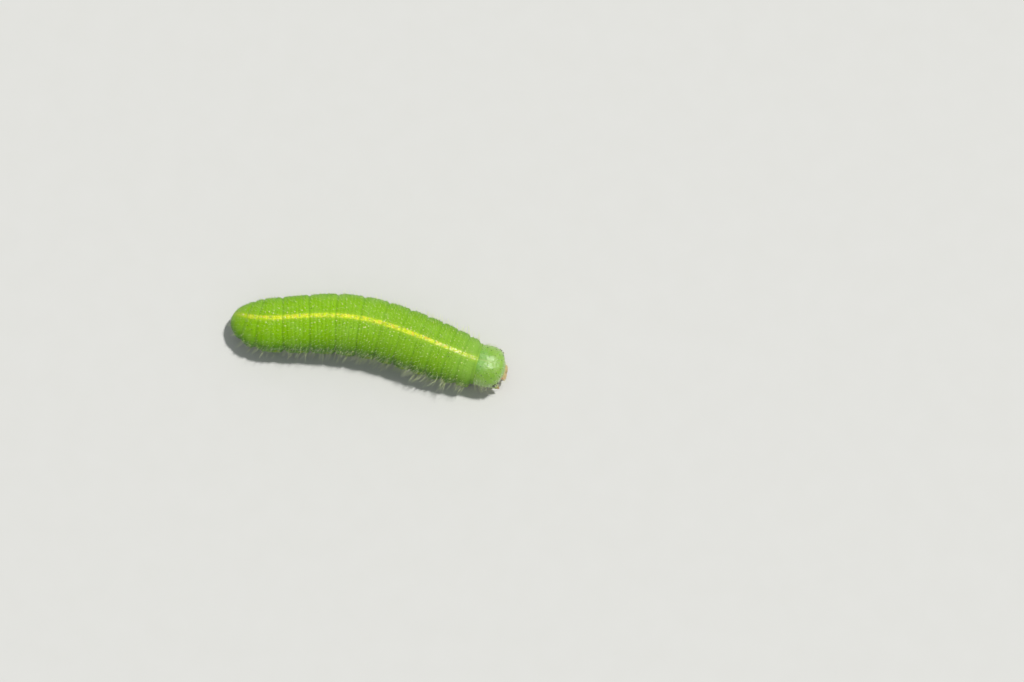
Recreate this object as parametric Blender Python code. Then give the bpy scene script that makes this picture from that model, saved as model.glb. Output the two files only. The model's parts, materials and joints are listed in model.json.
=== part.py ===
"""The larva of a small white butterfly, newly moulted, life size, at rest on a level surface.

Metres, +Z up. +X runs from tail to head, +Y is the animal's left, and its feet stand at Z = 0.
Each sub-part is one closed solid: the head capsule, its mouthparts, feelers and eye groups, the
three thorax segments, the ten abdomen segments, and each leg.
"""
import math

import bmesh
import bpy
from mathutils import Vector

MM = 0.001

# Clear cuts: between lengths of the body and at each leg's root, and round the small mouthparts
GAP = 0.20 * MM
FINE_GAP = 0.08 * MM

# The trunk's segments from tail to neck: name, length and the number of small rings on it
SEGMENTS = [
    ("abdomen_10", 1.00 * MM, 1),
    ("abdomen_9", 0.70 * MM, 2),
    ("abdomen_8", 1.36 * MM, 5),
    ("abdomen_7", 1.53 * MM, 6),
    ("abdomen_6", 1.53 * MM, 6),
    ("abdomen_5", 1.38 * MM, 6),
    ("abdomen_4", 1.28 * MM, 6),
    ("abdomen_3", 1.18 * MM, 6),
    ("abdomen_2", 1.06 * MM, 5),
    ("abdomen_1", 0.94 * MM, 5),
    ("thorax_3", 0.90 * MM, 4),
    ("thorax_2", 0.80 * MM, 3),
    ("thorax_1", 0.68 * MM, 2),
]
TRUNK_LENGTH = sum(length for _, length, _ in SEGMENTS)
FIRST_RING_SHARE = 1.6  # the small ring that carries the breathing hole, against the others

# The pose: where the midline starts, and how it bends to the animal's right and back again
TAIL_AT = Vector((-8.093 * MM, -0.060 * MM))
TAIL_HEADING = math.radians(-19.0)
TAIL_BEND, TAIL_BEND_TO = math.radians(30.0), 3.0 * MM
BODY_BEND = math.radians(22.0)
BEND_FROM, BEND_TO = 4.3 * MM, 10.8 * MM
HEAD_TURN = math.radians(11.0)
TURN_FROM, TURN_TO = 13.4 * MM, 15.6 * MM

MIDLINE_STEP = 0.05 * MM
MIDLINE_COUNT = math.ceil((TRUNK_LENGTH + 3.0 * MM) / MIDLINE_STEP)

# The trunk's outline, in mm: half its width, its back and its belly, at distances from the tail
HALF_WIDTHS = [
    (0.0, 1.46), (2.1, 1.53), (4.3, 1.64), (6.6, 1.73), (9.3, 1.70), (11.8, 1.64), (13.3, 1.51), (14.4, 1.34),
]
BACK_HEIGHTS = [
    (0.0, 2.30), (2.1, 2.62), (4.3, 2.96), (6.6, 3.10), (9.3, 3.04), (11.8, 2.86), (13.3, 2.68), (14.4, 2.52),
]
BELLY_HEIGHTS = [
    (0.0, 0.40), (2.1, 0.46), (4.3, 0.40), (6.6, 0.38), (9.3, 0.42), (11.8, 0.50), (13.3, 0.52), (14.4, 0.50),
]
TAIL_ROUND = 2.3 * MM  # length over which the tail end rounds off
TAIL_SHARES = [0.022, 0.05, 0.09, 0.14, 0.20, 0.27, 0.34]
TAIL_TIP_HEIGHT = 0.95 * MM
WIDEST_LEVEL = 0.45  # height of the widest line, as a share of the trunk's height
BACK_POWER, BELLY_POWER = 2.05, 2.5  # roundness of the section above and below that line

# Folds of the skin: the cuts between segments, the small rings, and the ridge along each flank
SEGMENT_FOLD, SEGMENT_FOLD_WIDTH = 0.085, 0.13 * MM
RING_FOLD, RING_FOLD_WIDTH = 0.022, 0.055 * MM
FLANK_RIDGE, FLANK_ANGLE, FLANK_SPREAD = 0.045, math.radians(114.0), math.radians(11.0)
AROUND = 28

# Head capsule: a blunt egg that sits against the first thorax segment and nods down to the mouth
HEAD_LENGTH, HEAD_WIDTH, HEAD_HEIGHT = 1.60 * MM, 2.42 * MM, 2.10 * MM
HEAD_CENTRE_HEIGHT = 1.53 * MM
HEAD_NOD = math.radians(16.0)
HEAD_SHARES = [
    (0.0, 0.90), (0.14, 0.97), (0.34, 1.00), (0.56, 0.99), (0.76, 0.91), (0.90, 0.76), (1.0, 0.46),
]
HEAD_STEPS = [0.0, 0.04, 0.10, 0.18, 0.28, 0.40, 0.52, 0.64, 0.74, 0.83, 0.90, 0.96, 1.0]
CROWN_CLEFT, CROWN_CLEFT_ANGLE = 0.055, math.radians(13.0)
HEAD_AROUND = 32

# Mouthparts and feelers, measured in the plane of the face: across, down from its centre, out
LABRUM_SIZE = Vector((0.92, 0.34, 0.50)) * MM
LABRUM_DROP, LABRUM_OUT = 0.24 * MM, -0.10 * MM
MANDIBLE_SIZE = Vector((0.44, 0.40, 0.58)) * MM
MANDIBLE_DROP, MANDIBLE_ASIDE, MANDIBLE_OUT = 0.70 * MM, 0.26 * MM, -0.26 * MM
LABIUM_SIZE = Vector((0.60, 0.38, 0.44)) * MM
LABIUM_DROP, LABIUM_OUT = 1.12 * MM, -0.42 * MM
ANTENNA_ROOT_AT, ANTENNA_TIP_AT = (0.76 * MM, 0.58 * MM, -0.42 * MM), (0.92 * MM, 0.70 * MM, 0.16 * MM)
ANTENNA_ROOT, ANTENNA_TIP = 0.21 * MM, 0.08 * MM

# Eyes: six beads on each cheek, in a string bent like a C
EYE_RADIUS, EYE_NECK_RADIUS = 0.085 * MM, 0.058 * MM
EYE_ARC_RADIUS, EYE_ARC = 0.23 * MM, math.radians(200.0)
EYE_STATION, EYE_ANGLE = 0.90, math.radians(86.0)

# Legs: one pair on each thorax segment, a pair of soft feet on four abdomen segments and the last
LEG_SEGMENTS = {"thorax_1": 1, "thorax_2": 2, "thorax_3": 3}
LEG_ROOT_ANGLE, LEG_ROOT_RADIUS = math.radians(143.0), 0.30 * MM
PROLEG_SEGMENTS = {"abdomen_3": 3, "abdomen_4": 4, "abdomen_5": 5, "abdomen_6": 6}
PROLEG_ROOT_ANGLE, PROLEG_ROOT_RADIUS = math.radians(146.0), 0.43 * MM
PROLEG_FOOT_RADIUS = 0.33 * MM
CLASPER_STATION, CLASPER_ROOT_RADIUS = 0.66 * MM, 0.36 * MM
CLASPER_FOOT_AT, CLASPER_FOOT_RADIUS = (0.74 * MM, 0.56 * MM), 0.29 * MM

SKIN_GREEN = (0.22, 0.42, 0.05)
HEAD_GREEN = (0.30, 0.46, 0.12)
FOOT_GREEN = (0.36, 0.52, 0.16)
MOUTH_BROWN = (0.45, 0.22, 0.08)
EYE_BLACK = (0.012, 0.012, 0.010)


def clear_scene():
    for obj in list(bpy.data.objects):
        bpy.data.objects.remove(obj)


def make_material(name, colour, roughness):
    material = bpy.data.materials.new(name)
    material.use_nodes = True
    shader = material.node_tree.nodes["Principled BSDF"]
    shader.inputs["Base Color"].default_value = (*colour, 1.0)
    shader.inputs["Roughness"].default_value = roughness
    shader.inputs["Metallic"].default_value = 0.0
    return material


def smoothstep(value, low, high):
    share = min(max((value - low) / (high - low), 0.0), 1.0)
    return share * share * (3.0 - 2.0 * share)


def through(stations, at):
    """A smooth curve through a few (place, size) pairs, read at one place."""
    at = min(max(at, stations[0][0]), stations[-1][0])
    index = max(i for i in range(len(stations) - 1) if stations[i][0] <= at)

    def slope(i):
        low, high = max(i - 1, 0), min(i + 1, len(stations) - 1)
        return (stations[high][1] - stations[low][1]) / (stations[high][0] - stations[low][0])

    (x0, y0), (x1, y1) = stations[index], stations[index + 1]
    run = x1 - x0
    t = (at - x0) / run
    rise = (2 * t**3 - 3 * t**2 + 1) * y0 + (3 * t**2 - 2 * t**3) * y1
    bend = (t**3 - 2 * t**2 + t) * run * slope(index) + (t**3 - t**2) * run * slope(index + 1)
    return rise + bend


def heading(distance):
    """Direction of the midline in plan, at a distance from the tail's tip."""
    tail = TAIL_BEND * smoothstep(distance, 0.0, TAIL_BEND_TO)
    bend = BODY_BEND * smoothstep(distance, BEND_FROM, BEND_TO)
    turn = HEAD_TURN * smoothstep(distance, TURN_FROM, TURN_TO)
    return TAIL_HEADING + tail - bend + turn


def make_midline():
    """Points of the midline in plan, a fixed step apart, from the tail's tip to past the face."""
    points = [TAIL_AT.copy()]
    for i in range(MIDLINE_COUNT):
        angle = heading((i + 0.5) * MIDLINE_STEP)
        points.append(points[-1] + MIDLINE_STEP * Vector((math.cos(angle), math.sin(angle))))
    return points


MIDLINE = make_midline()


def on_midline(distance):
    place = min(max(distance / MIDLINE_STEP, 0.0), MIDLINE_COUNT - 1e-6)
    index = int(place)
    return MIDLINE[index].lerp(MIDLINE[index + 1], place - index)


def place_beside(distance, aside, height):
    """A point at a distance along the midline, aside to the left and at a height."""
    angle = heading(distance)
    left = Vector((-math.sin(angle), math.cos(angle)))
    plan = on_midline(distance) + aside * left
    return Vector((plan.x, plan.y, height))


def segment_span(name):
    start = 0.0
    for other, length, _ in SEGMENTS:
        if other == name:
            return start, start + length
        start += length
    raise KeyError(name)


def ring_borders(start, length, count):
    """Where the small rings of a segment meet; the foremost is the widest."""
    unit = length / (count - 1 + FIRST_RING_SHARE)
    return [start + unit * i for i in range(1, count)]


def fold_depth(distance):
    """How far the skin is drawn in at this place, as a share of its radius."""
    depth, start = 0.0, 0.0
    for _, length, count in SEGMENTS:
        end = start + length
        if start > 0.0:
            depth += SEGMENT_FOLD * math.exp(-(((distance - start) / SEGMENT_FOLD_WIDTH) ** 2))
        for border in ring_borders(start, length, count):
            depth += RING_FOLD * math.exp(-(((distance - border) / RING_FOLD_WIDTH) ** 2))
        start = end
    return depth


def signed_power(value, power):
    return math.copysign(abs(value) ** power, value)


def trunk_point(distance, angle, lift=0.0, folded=True):
    """A point of the trunk's surface. The angle runs from the back, 0, down the left flank to the belly."""
    rounding = math.sqrt(max(0.0, 1.0 - max(0.0, 1.0 - distance / TAIL_ROUND) ** 2))
    place = distance / MM
    half = through(HALF_WIDTHS, place) * MM * rounding
    back = TAIL_TIP_HEIGHT + (through(BACK_HEIGHTS, place) * MM - TAIL_TIP_HEIGHT) * rounding
    belly = TAIL_TIP_HEIGHT + (through(BELLY_HEIGHTS, place) * MM - TAIL_TIP_HEIGHT) * rounding
    widest = belly + WIDEST_LEVEL * (back - belly)
    across, up = math.sin(angle), math.cos(angle)
    power = BACK_POWER if up > 0.0 else BELLY_POWER
    reach = (back - widest) if up > 0.0 else (widest - belly)
    aside = half * signed_power(across, 2.0 / power)
    above = reach * signed_power(up, 2.0 / power)
    size = 1.0
    if folded:
        turned = abs(math.remainder(angle, 2.0 * math.pi))
        ridge = FLANK_RIDGE * math.exp(-(((turned - FLANK_ANGLE) / FLANK_SPREAD) ** 2))
        size += (ridge if distance > TAIL_ROUND / 2 else 0.0) - fold_depth(distance)
    radius = math.hypot(aside, above)
    size += lift / max(radius, 1e-9)
    return place_beside(distance, aside * size, widest + above * size)


def head_point(share, angle, lift=0.0):
    """A point of the head capsule, at a share of its length from the neck and an angle from the crown."""
    nod = max(HEAD_NOD * share, 1e-6)
    ahead = HEAD_LENGTH * share * math.sin(nod) / nod
    drop = HEAD_LENGTH * share * (1.0 - math.cos(nod)) / nod
    size = through(HEAD_SHARES, share)
    turned = math.remainder(angle, 2.0 * math.pi)
    cleft = math.exp(-((turned / CROWN_CLEFT_ANGLE) ** 2)) * (1.0 - smoothstep(share, 0.6, 0.9))
    size *= 1.0 - CROWN_CLEFT * cleft
    aside = (0.5 * HEAD_WIDTH * size + lift) * math.sin(angle)
    above = (0.5 * HEAD_HEIGHT * size + lift) * math.cos(angle)
    distance = TRUNK_LENGTH + 0.5 * GAP + ahead + above * math.sin(nod)
    return place_beside(distance, aside, HEAD_CENTRE_HEIGHT - drop + above * math.cos(nod))


def face_point(across, down, out):
    """A point measured from the middle of the face, in its own tilted plane."""
    nod = HEAD_NOD
    ahead = HEAD_LENGTH * math.sin(nod) / nod + out * math.cos(nod) - down * math.sin(nod)
    drop = HEAD_LENGTH * (1.0 - math.cos(nod)) / nod + out * math.sin(nod) + down * math.cos(nod)
    return place_beside(TRUNK_LENGTH + 0.5 * GAP + ahead, across, HEAD_CENTRE_HEIGHT - drop)


def clear_point(share, angle):
    """A point that stands the fine gap clear of the head capsule, also where it slopes to the face."""
    push = face_point(0.0, 0.0, FINE_GAP) - face_point(0.0, 0.0, 0.0)
    return head_point(share, angle, FINE_GAP) + push * smoothstep(share, 0.3, 0.9)


def solid_from_rings(name, rings, material):
    """One closed solid: each ring is bridged to the next, and the two end rings are capped."""
    mesh = bpy.data.meshes.new(name)
    shape = bmesh.new()
    loops = [[shape.verts.new(point) for point in ring] for ring in rings]
    count = len(loops[0])
    for near, far in zip(loops, loops[1:]):
        for i in range(count):
            j = (i + 1) % count
            shape.faces.new((near[i], near[j], far[j], far[i]))
    shape.faces.new(list(reversed(loops[0])))
    shape.faces.new(loops[-1])
    bmesh.ops.recalc_face_normals(shape, faces=shape.faces)
    shape.to_mesh(mesh)
    shape.free()
    mesh.shade_smooth()
    mesh.set_sharp_from_angle(angle=math.radians(40.0))
    mesh.materials.append(material)
    obj = bpy.data.objects.new(name, mesh)
    bpy.context.scene.collection.objects.link(obj)
    return obj


def keep_largest(obj):
    """Drops every loose scrap that a cut left, and keeps the largest surface."""
    shape = bmesh.new()
    shape.from_mesh(obj.data)
    unseen, islands = set(shape.faces), []
    while unseen:
        found, edge_of_search = set(), [unseen.pop()]
        while edge_of_search:
            face = edge_of_search.pop()
            found.add(face)
            near = {other for edge in face.edges for other in edge.link_faces} & unseen
            unseen -= near
            edge_of_search.extend(near)
        islands.append(found)
    largest = max(islands, key=lambda faces: sum(face.calc_area() for face in faces))
    scraps = [face for faces in islands if faces is not largest for face in faces]
    bmesh.ops.delete(shape, geom=scraps, context="FACES")
    shape.to_mesh(obj.data)
    shape.free()


def cut_away(obj, cutter):
    """Takes the cutter's volume from the solid, for good, and then removes the cutter."""
    step = obj.modifiers.new("cut", "BOOLEAN")
    step.operation = "DIFFERENCE"
    step.solver = "EXACT"
    step.object = cutter
    graph = bpy.context.evaluated_depsgraph_get()
    obj.data = bpy.data.meshes.new_from_object(obj.evaluated_get(graph))
    obj.modifiers.clear()
    bpy.data.objects.remove(cutter)
    keep_largest(obj)


def ring_round(centre, along, wide, deep, sides, level=None, outward=Vector((0, 0, 1))):
    """A ring of points round a centre, square to a direction; level puts it flat at that height."""
    along = along.normalized()
    side = outward.cross(along)
    side = side.normalized() if side.length > 1e-3 else Vector((0, 1, 0))
    other = along.cross(side)
    if level is not None:
        side = Vector((side.x, side.y, 0)).normalized()
        other = Vector((0, 0, -1)).cross(side)
        centre = Vector((centre.x, centre.y, level))
    turns = [2.0 * math.pi * i / sides for i in range(sides)]
    return [centre + side * (wide * math.cos(t)) + other * (deep * math.sin(t)) for t in turns]


def trunk_cutter(start, end):
    """The trunk without its folds, grown by the gap, to cut what grows from it."""
    steps = 14
    rings = []
    for i in range(steps + 1):
        distance = start + (end - start) * i / steps
        turns = [2.0 * math.pi * k / AROUND for k in range(AROUND)]
        rings.append([trunk_point(distance, angle, GAP, folded=False) for angle in turns])
    return solid_from_rings("trunk_cutter", rings, None)


def make_segment(name, material):
    """One segment of the trunk, ringed with small folds, its two end faces flat."""
    start, end = segment_span(name)
    count = next(rings for other, _, rings in SEGMENTS if other == name)
    borders = ring_borders(start, end - start, count)
    low = start + 0.5 * GAP if start > 0.0 else 0.02 * MM
    high = end - 0.5 * GAP
    edges = [low, *[b for b in borders if low < b < high], high]
    places = []
    for near, far in zip(edges, edges[1:]):
        places += [near, 0.5 * (near + far)]
    places.append(high)
    if start == 0.0:
        places = [low] + [TAIL_ROUND * share for share in TAIL_SHARES] + [high]
    turns = [2.0 * math.pi * i / AROUND for i in range(AROUND)]
    rings = [[trunk_point(place, angle) for angle in turns] for place in places]
    return solid_from_rings(name, rings, material)


def make_head(material):
    turns = [2.0 * math.pi * i / HEAD_AROUND for i in range(HEAD_AROUND)]
    rings = [[head_point(share, angle) for angle in turns] for share in HEAD_STEPS]
    return solid_from_rings("head", rings, material)


def head_cutter():
    """The head capsule grown by the fine gap, to cut the mouthparts and feelers clear of it."""
    turns = [2.0 * math.pi * i / HEAD_AROUND for i in range(HEAD_AROUND)]
    rings = [[clear_point(share, angle) for angle in turns] for share in HEAD_STEPS]
    return solid_from_rings("head_cutter", rings, None)


def rounded_block(name, size, across, down, out, shares, material):
    """A block with rounded sides that stands out of the face; each share narrows and lowers it."""
    sides = 16
    rings = []
    for along, narrow, sag in shares:
        ring = []
        for i in range(sides):
            turn = 2.0 * math.pi * i / sides
            wide = 0.5 * size.x * narrow * signed_power(math.cos(turn), 0.6)
            tall = 0.5 * size.y * narrow * signed_power(math.sin(turn), 0.6)
            ring.append(face_point(across + wide, down + sag * MM + tall, out + size.z * along))
        rings.append(ring)
    return solid_from_rings(name, rings, material)


def make_mouth(material, pale):
    """The upper lip, the two jaws under it and the lower lip with its spinneret, cut clear of the head."""
    tips = [(-0.75, 1.0, 0.0), (0.1, 1.0, 0.0), (0.5, 0.98, 0.05), (0.8, 0.88, 0.12), (1.0, 0.62, 0.20)]
    labrum = rounded_block("labrum", LABRUM_SIZE, 0.0, LABRUM_DROP, LABRUM_OUT, tips, pale)
    cut_away(labrum, head_cutter())
    bite = [(-1.0, 1.05, 0.0), (0.3, 1.0, 0.0), (0.75, 0.8, 0.0), (1.0, 0.42, 0.0)]
    for side, name in ((1, "mandible_left"), (-1, "mandible_right")):
        aside = side * MANDIBLE_ASIDE
        jaw = rounded_block(name, MANDIBLE_SIZE, aside, MANDIBLE_DROP, MANDIBLE_OUT, bite, material)
        cut_away(jaw, head_cutter())
    lip = [(-0.5, 1.0, 0.0), (0.2, 1.0, 0.0), (0.6, 0.72, 0.0), (1.0, 0.30, 0.0)]
    labium = rounded_block("labium", LABIUM_SIZE, 0.0, LABIUM_DROP, LABIUM_OUT, lip, pale)
    cut_away(labium, head_cutter())


def make_antenna(side, name, material):
    """A short feeler of three joints that stands out beside the jaw."""
    root = face_point(side * ANTENNA_ROOT_AT[0], ANTENNA_ROOT_AT[1], ANTENNA_ROOT_AT[2])
    tip = face_point(side * ANTENNA_TIP_AT[0], ANTENNA_TIP_AT[1], ANTENNA_TIP_AT[2])
    along = tip - root
    rings = []
    for share, size in ((0.0, 1.0), (0.55, 1.0), (0.62, 0.8), (0.85, 0.7), (1.0, ANTENNA_TIP / ANTENNA_ROOT)):
        rings.append(ring_round(root + along * share, along, ANTENNA_ROOT * size, ANTENNA_ROOT * size, 10))
    feeler = solid_from_rings(name, rings, material)
    cut_away(feeler, head_cutter())


def make_eyes(side, name, material):
    """Six small eyes in one bent string that lies on the cheek."""
    rings = []
    beads, per_bead = 6, 4
    count = beads * per_bead
    centres, outwards = [], []
    for i in range(count + 1):
        turn = EYE_ARC * (i / count - 0.5)
        share = EYE_STATION - EYE_ARC_RADIUS / HEAD_LENGTH * math.cos(turn)
        angle = side * (EYE_ANGLE + 2.0 * EYE_ARC_RADIUS / HEAD_WIDTH * math.sin(turn))
        centres.append(clear_point(share, angle))
        outwards.append((head_point(share, angle, MM) - head_point(share, angle)).normalized())
    for i, centre in enumerate(centres):
        along = centres[min(i + 1, count)] - centres[max(i - 1, 0)]
        swell = 0.5 - 0.5 * math.cos(2.0 * math.pi * i / per_bead)
        radius = EYE_NECK_RADIUS + (EYE_RADIUS - EYE_NECK_RADIUS) * swell
        rings.append(ring_round(centre, along, radius, radius, 8, outward=outwards[i]))
    string = solid_from_rings(name, rings, material)
    cut_away(string, head_cutter())


def make_leg(side, segment, number, material):
    """A jointed leg: a stout hip, two narrower joints and a claw that stands on the floor."""
    start, end = segment_span(segment)
    middle = 0.5 * (start + end)
    root = trunk_point(middle, side * LEG_ROOT_ANGLE, -0.30 * MM)
    knee = place_beside(middle + 0.10 * MM, side * 0.98 * MM, 0.46 * MM)
    ankle = place_beside(middle + 0.20 * MM, side * 0.98 * MM, 0.17 * MM)
    foot = place_beside(middle + 0.24 * MM, side * 0.92 * MM, 0.0)
    hip = root.lerp(knee, 0.55)
    thick = LEG_ROOT_RADIUS
    rings = [
        ring_round(root, knee - root, thick, thick, 12),
        ring_round(hip, knee - root, thick, thick, 12),
        ring_round(root.lerp(knee, 0.82), knee - root, 0.88 * thick, 0.88 * thick, 12),
        ring_round(knee, foot - root, 0.80 * thick, 0.80 * thick, 12),
        ring_round(knee.lerp(ankle, 0.6), ankle - knee, 0.66 * thick, 0.66 * thick, 12),
        ring_round(ankle, foot - knee, 0.50 * thick, 0.50 * thick, 12),
        ring_round(foot, foot - ankle, 0.32 * thick, 0.32 * thick, 12, level=0.0),
    ]
    leg = solid_from_rings(f"leg_{'left' if side > 0 else 'right'}_{number}", rings, material)
    cut_away(leg, trunk_cutter(middle - 1.2 * MM, middle + 1.2 * MM))


def make_soft_foot(name, side, distance, root_angle, root_radius, foot_at, foot_radius, material):
    """A soft foot: a fleshy stump that narrows to an ankle and spreads into a flat pad on the floor."""
    root = trunk_point(distance, side * root_angle, -0.35 * MM)
    foot = place_beside(foot_at[0], side * foot_at[1], 0.0)
    down = foot - root
    rings = []
    for share, size in ((0.0, 1.0), (0.28, 1.0), (0.48, 0.94)):
        radius = root_radius * size
        rings.append(ring_round(root + down * share, down, radius, 0.84 * radius, 14))
    for height, size in ((0.20 * MM, 1.04), (0.10 * MM, 1.10), (0.0, 0.94)):
        radius = foot_radius * size
        rings.append(ring_round(foot - down * (height / abs(down.z)), down, radius, radius, 14, level=height))
    stump = solid_from_rings(name, rings, material)
    cut_away(stump, trunk_cutter(max(distance - 1.3 * MM, 0.02 * MM), distance + 1.3 * MM))


def main():
    clear_scene()
    skin = make_material("skin", SKIN_GREEN, 0.55)
    capsule = make_material("capsule", HEAD_GREEN, 0.35)
    foot = make_material("foot", FOOT_GREEN, 0.5)
    jaw = make_material("jaw", MOUTH_BROWN, 0.35)
    eye = make_material("eye", EYE_BLACK, 0.12)
    for name, _, _ in SEGMENTS:
        make_segment(name, skin)
    make_head(capsule)
    make_mouth(jaw, foot)
    for side, word in ((1, "left"), (-1, "right")):
        make_antenna(side, f"antenna_{word}", foot)
        make_eyes(side, f"eyes_{word}", eye)
        for segment, number in LEG_SEGMENTS.items():
            make_leg(side, segment, number, foot)
        for segment, number in PROLEG_SEGMENTS.items():
            start, end = segment_span(segment)
            middle = 0.5 * (start + end)
            make_soft_foot(
                f"proleg_{word}_{number}", side, middle, PROLEG_ROOT_ANGLE, PROLEG_ROOT_RADIUS,
                (middle, 1.06 * MM), PROLEG_FOOT_RADIUS, foot,
            )
        make_soft_foot(
            f"clasper_{word}", side, CLASPER_STATION, PROLEG_ROOT_ANGLE, CLASPER_ROOT_RADIUS,
            CLASPER_FOOT_AT, CLASPER_FOOT_RADIUS, foot,
        )


main()
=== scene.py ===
"""The larva of a small white butterfly, newly moulted, at rest on a pale floor.

Metres: +X runs from tail to head, +Y is the animal's left, +Z is up. Every piece sits over the
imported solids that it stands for, and rides on the one body. Places on the animal are in mm: a distance
along the midline from the tail, and an angle from the back, 0, down the left flank.
"""
import json
import math

import bmesh
import bpy
import numpy as np
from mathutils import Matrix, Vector

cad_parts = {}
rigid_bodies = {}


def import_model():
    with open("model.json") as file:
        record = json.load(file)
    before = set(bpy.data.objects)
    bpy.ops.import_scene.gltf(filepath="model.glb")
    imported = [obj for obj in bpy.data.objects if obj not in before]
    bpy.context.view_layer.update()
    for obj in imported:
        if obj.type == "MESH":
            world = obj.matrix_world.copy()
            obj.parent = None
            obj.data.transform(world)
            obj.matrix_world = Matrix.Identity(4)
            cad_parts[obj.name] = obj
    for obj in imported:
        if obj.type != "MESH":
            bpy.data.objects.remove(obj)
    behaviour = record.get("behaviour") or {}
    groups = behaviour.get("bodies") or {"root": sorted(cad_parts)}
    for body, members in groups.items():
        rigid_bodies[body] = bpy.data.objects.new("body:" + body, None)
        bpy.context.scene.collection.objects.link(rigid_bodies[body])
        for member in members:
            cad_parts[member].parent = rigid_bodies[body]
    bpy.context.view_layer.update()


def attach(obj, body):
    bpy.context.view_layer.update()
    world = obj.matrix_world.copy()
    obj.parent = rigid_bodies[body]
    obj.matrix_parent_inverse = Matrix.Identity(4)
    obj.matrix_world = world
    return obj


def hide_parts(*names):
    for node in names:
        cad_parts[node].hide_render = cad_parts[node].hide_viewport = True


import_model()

# Trunk skin: thin, soft, velvety cuticle over a body full of fluid. It is drawn in at the borders of
# thirteen segments and ringed with small folds, bulges in a soft ridge under the breathing holes, and
# the soft feet grow out of it. One closed mesh, from the anal plate to the collar round the neck.
MM = 0.001
SIDES = ((1, "left"), (-1, "right"))
SEGMENTS = [
    ("abdomen_10", 1.00, 2), ("abdomen_9", 0.70, 2), ("abdomen_8", 1.36, 5), ("abdomen_7", 1.53, 6),
    ("abdomen_6", 1.53, 6), ("abdomen_5", 1.38, 6), ("abdomen_4", 1.28, 6), ("abdomen_3", 1.18, 6),
    ("abdomen_2", 1.06, 5), ("abdomen_1", 0.94, 5), ("thorax_3", 0.90, 4), ("thorax_2", 0.80, 3),
    ("thorax_1", 0.68, 2),
]
SEGMENT_NAMES = [name for name, _, _ in SEGMENTS]
SEGMENT_ENDS = np.cumsum([length for _, length, _ in SEGMENTS])
SEGMENT_STARTS = SEGMENT_ENDS - [length for _, length, _ in SEGMENTS]
SEGMENT_MIDDLES = dict(zip(SEGMENT_NAMES, 0.5 * (SEGMENT_STARTS + SEGMENT_ENDS)))
TRUNK_LENGTH = SEGMENT_ENDS[-1]
FIRST_RING_SHARE = 1.6
TAIL_AT = (-8.093, -0.060)
TAIL_HEADING, TAIL_BEND, BODY_BEND, HEAD_TURN = np.radians([-19.0, 30.0, 22.0, 11.0])
WIDTH_AT = (0.0, 2.1, 4.3, 6.6, 9.3, 11.8, 13.3, 14.4)
HALF_WIDTHS = (1.46, 1.53, 1.64, 1.73, 1.70, 1.64, 1.51, 1.34)
BACK_HEIGHTS = (2.30, 2.62, 2.96, 3.10, 3.04, 2.86, 2.68, 2.52)
BELLY_HEIGHTS = (0.40, 0.46, 0.40, 0.38, 0.42, 0.50, 0.52, 0.50)
TAIL_ROUND, TAIL_TIP_HEIGHT = 2.3, 0.95
WIDEST_LEVEL, BACK_POWER, BELLY_POWER = 0.45, 2.05, 2.5
FLANK_RIDGE, FLANK_ANGLE, FLANK_SPREAD = 0.045, math.radians(114.0), math.radians(11.0)
CREASE_ANGLE, CREASE_SPREAD, CREASE_DEPTH = 1.58, 0.07, 0.012
SKIN_ROWS, SKIN_AROUND = 400, 196
COLLAR_TURNS_IN = [
    (0.225, -0.008), (0.243, -0.026), (0.250, -0.050), (0.240, -0.085), (0.19, -0.13), (0.08, -0.17),
    (0.0, -0.30),
]
SPIRACLE_ANGLE = math.radians(99.0)
MIDLINE_STEP = 0.02


def smooth(value, low, high):
    share = np.clip((value - low) / (high - low), 0.0, 1.0)
    return share * share * (3.0 - 2.0 * share)


def through(places, sizes, at):
    """A smooth curve through the sizes at a few places, read at many places."""
    xs, ys = np.array(places), np.array(sizes)
    slopes = np.gradient(ys, xs)
    slopes[1:-1] = (ys[2:] - ys[:-2]) / (xs[2:] - xs[:-2])
    at = np.clip(at, xs[0], xs[-1])
    i = np.clip(np.searchsorted(xs, at, side="right") - 1, 0, len(xs) - 2)
    run = xs[i + 1] - xs[i]
    t = (at - xs[i]) / run
    rise = (2 * t**3 - 3 * t**2 + 1) * ys[i] + (3 * t**2 - 2 * t**3) * ys[i + 1]
    return rise + (t**3 - 2 * t**2 + t) * run * slopes[i] + (t**3 - t**2) * run * slopes[i + 1]


def heading(distance):
    tail = TAIL_BEND * smooth(distance, 0.0, 3.0)
    bend = BODY_BEND * smooth(distance, 4.3, 10.8)
    return TAIL_HEADING + tail - bend + HEAD_TURN * smooth(distance, 13.4, 15.6)


MIDLINE_AT = np.arange(0.0, TRUNK_LENGTH + 4.0, MIDLINE_STEP)
MIDLINE_TURNS = heading(MIDLINE_AT[:-1] + 0.5 * MIDLINE_STEP)
MIDLINE_X = TAIL_AT[0] + np.append(0.0, np.cumsum(np.cos(MIDLINE_TURNS)) * MIDLINE_STEP)
MIDLINE_Y = TAIL_AT[1] + np.append(0.0, np.cumsum(np.sin(MIDLINE_TURNS)) * MIDLINE_STEP)


def place_beside(distance, aside, height):
    """Points, in metres, at distances along the midline, aside to the left and at heights, all in mm."""
    angle = heading(distance)
    x = np.interp(distance, MIDLINE_AT, MIDLINE_X) - np.sin(angle) * aside
    y = np.interp(distance, MIDLINE_AT, MIDLINE_Y) + np.cos(angle) * aside
    return np.stack(np.broadcast_arrays(x, y, height), axis=-1) * MM


def ring_borders():
    found = []
    for start, (_, length, count) in zip(SEGMENT_STARTS, SEGMENTS):
        unit_length = length / (count - 1 + FIRST_RING_SHARE)
        found += [start + unit_length * i for i in range(1, count)]
    return np.array(found)


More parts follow.
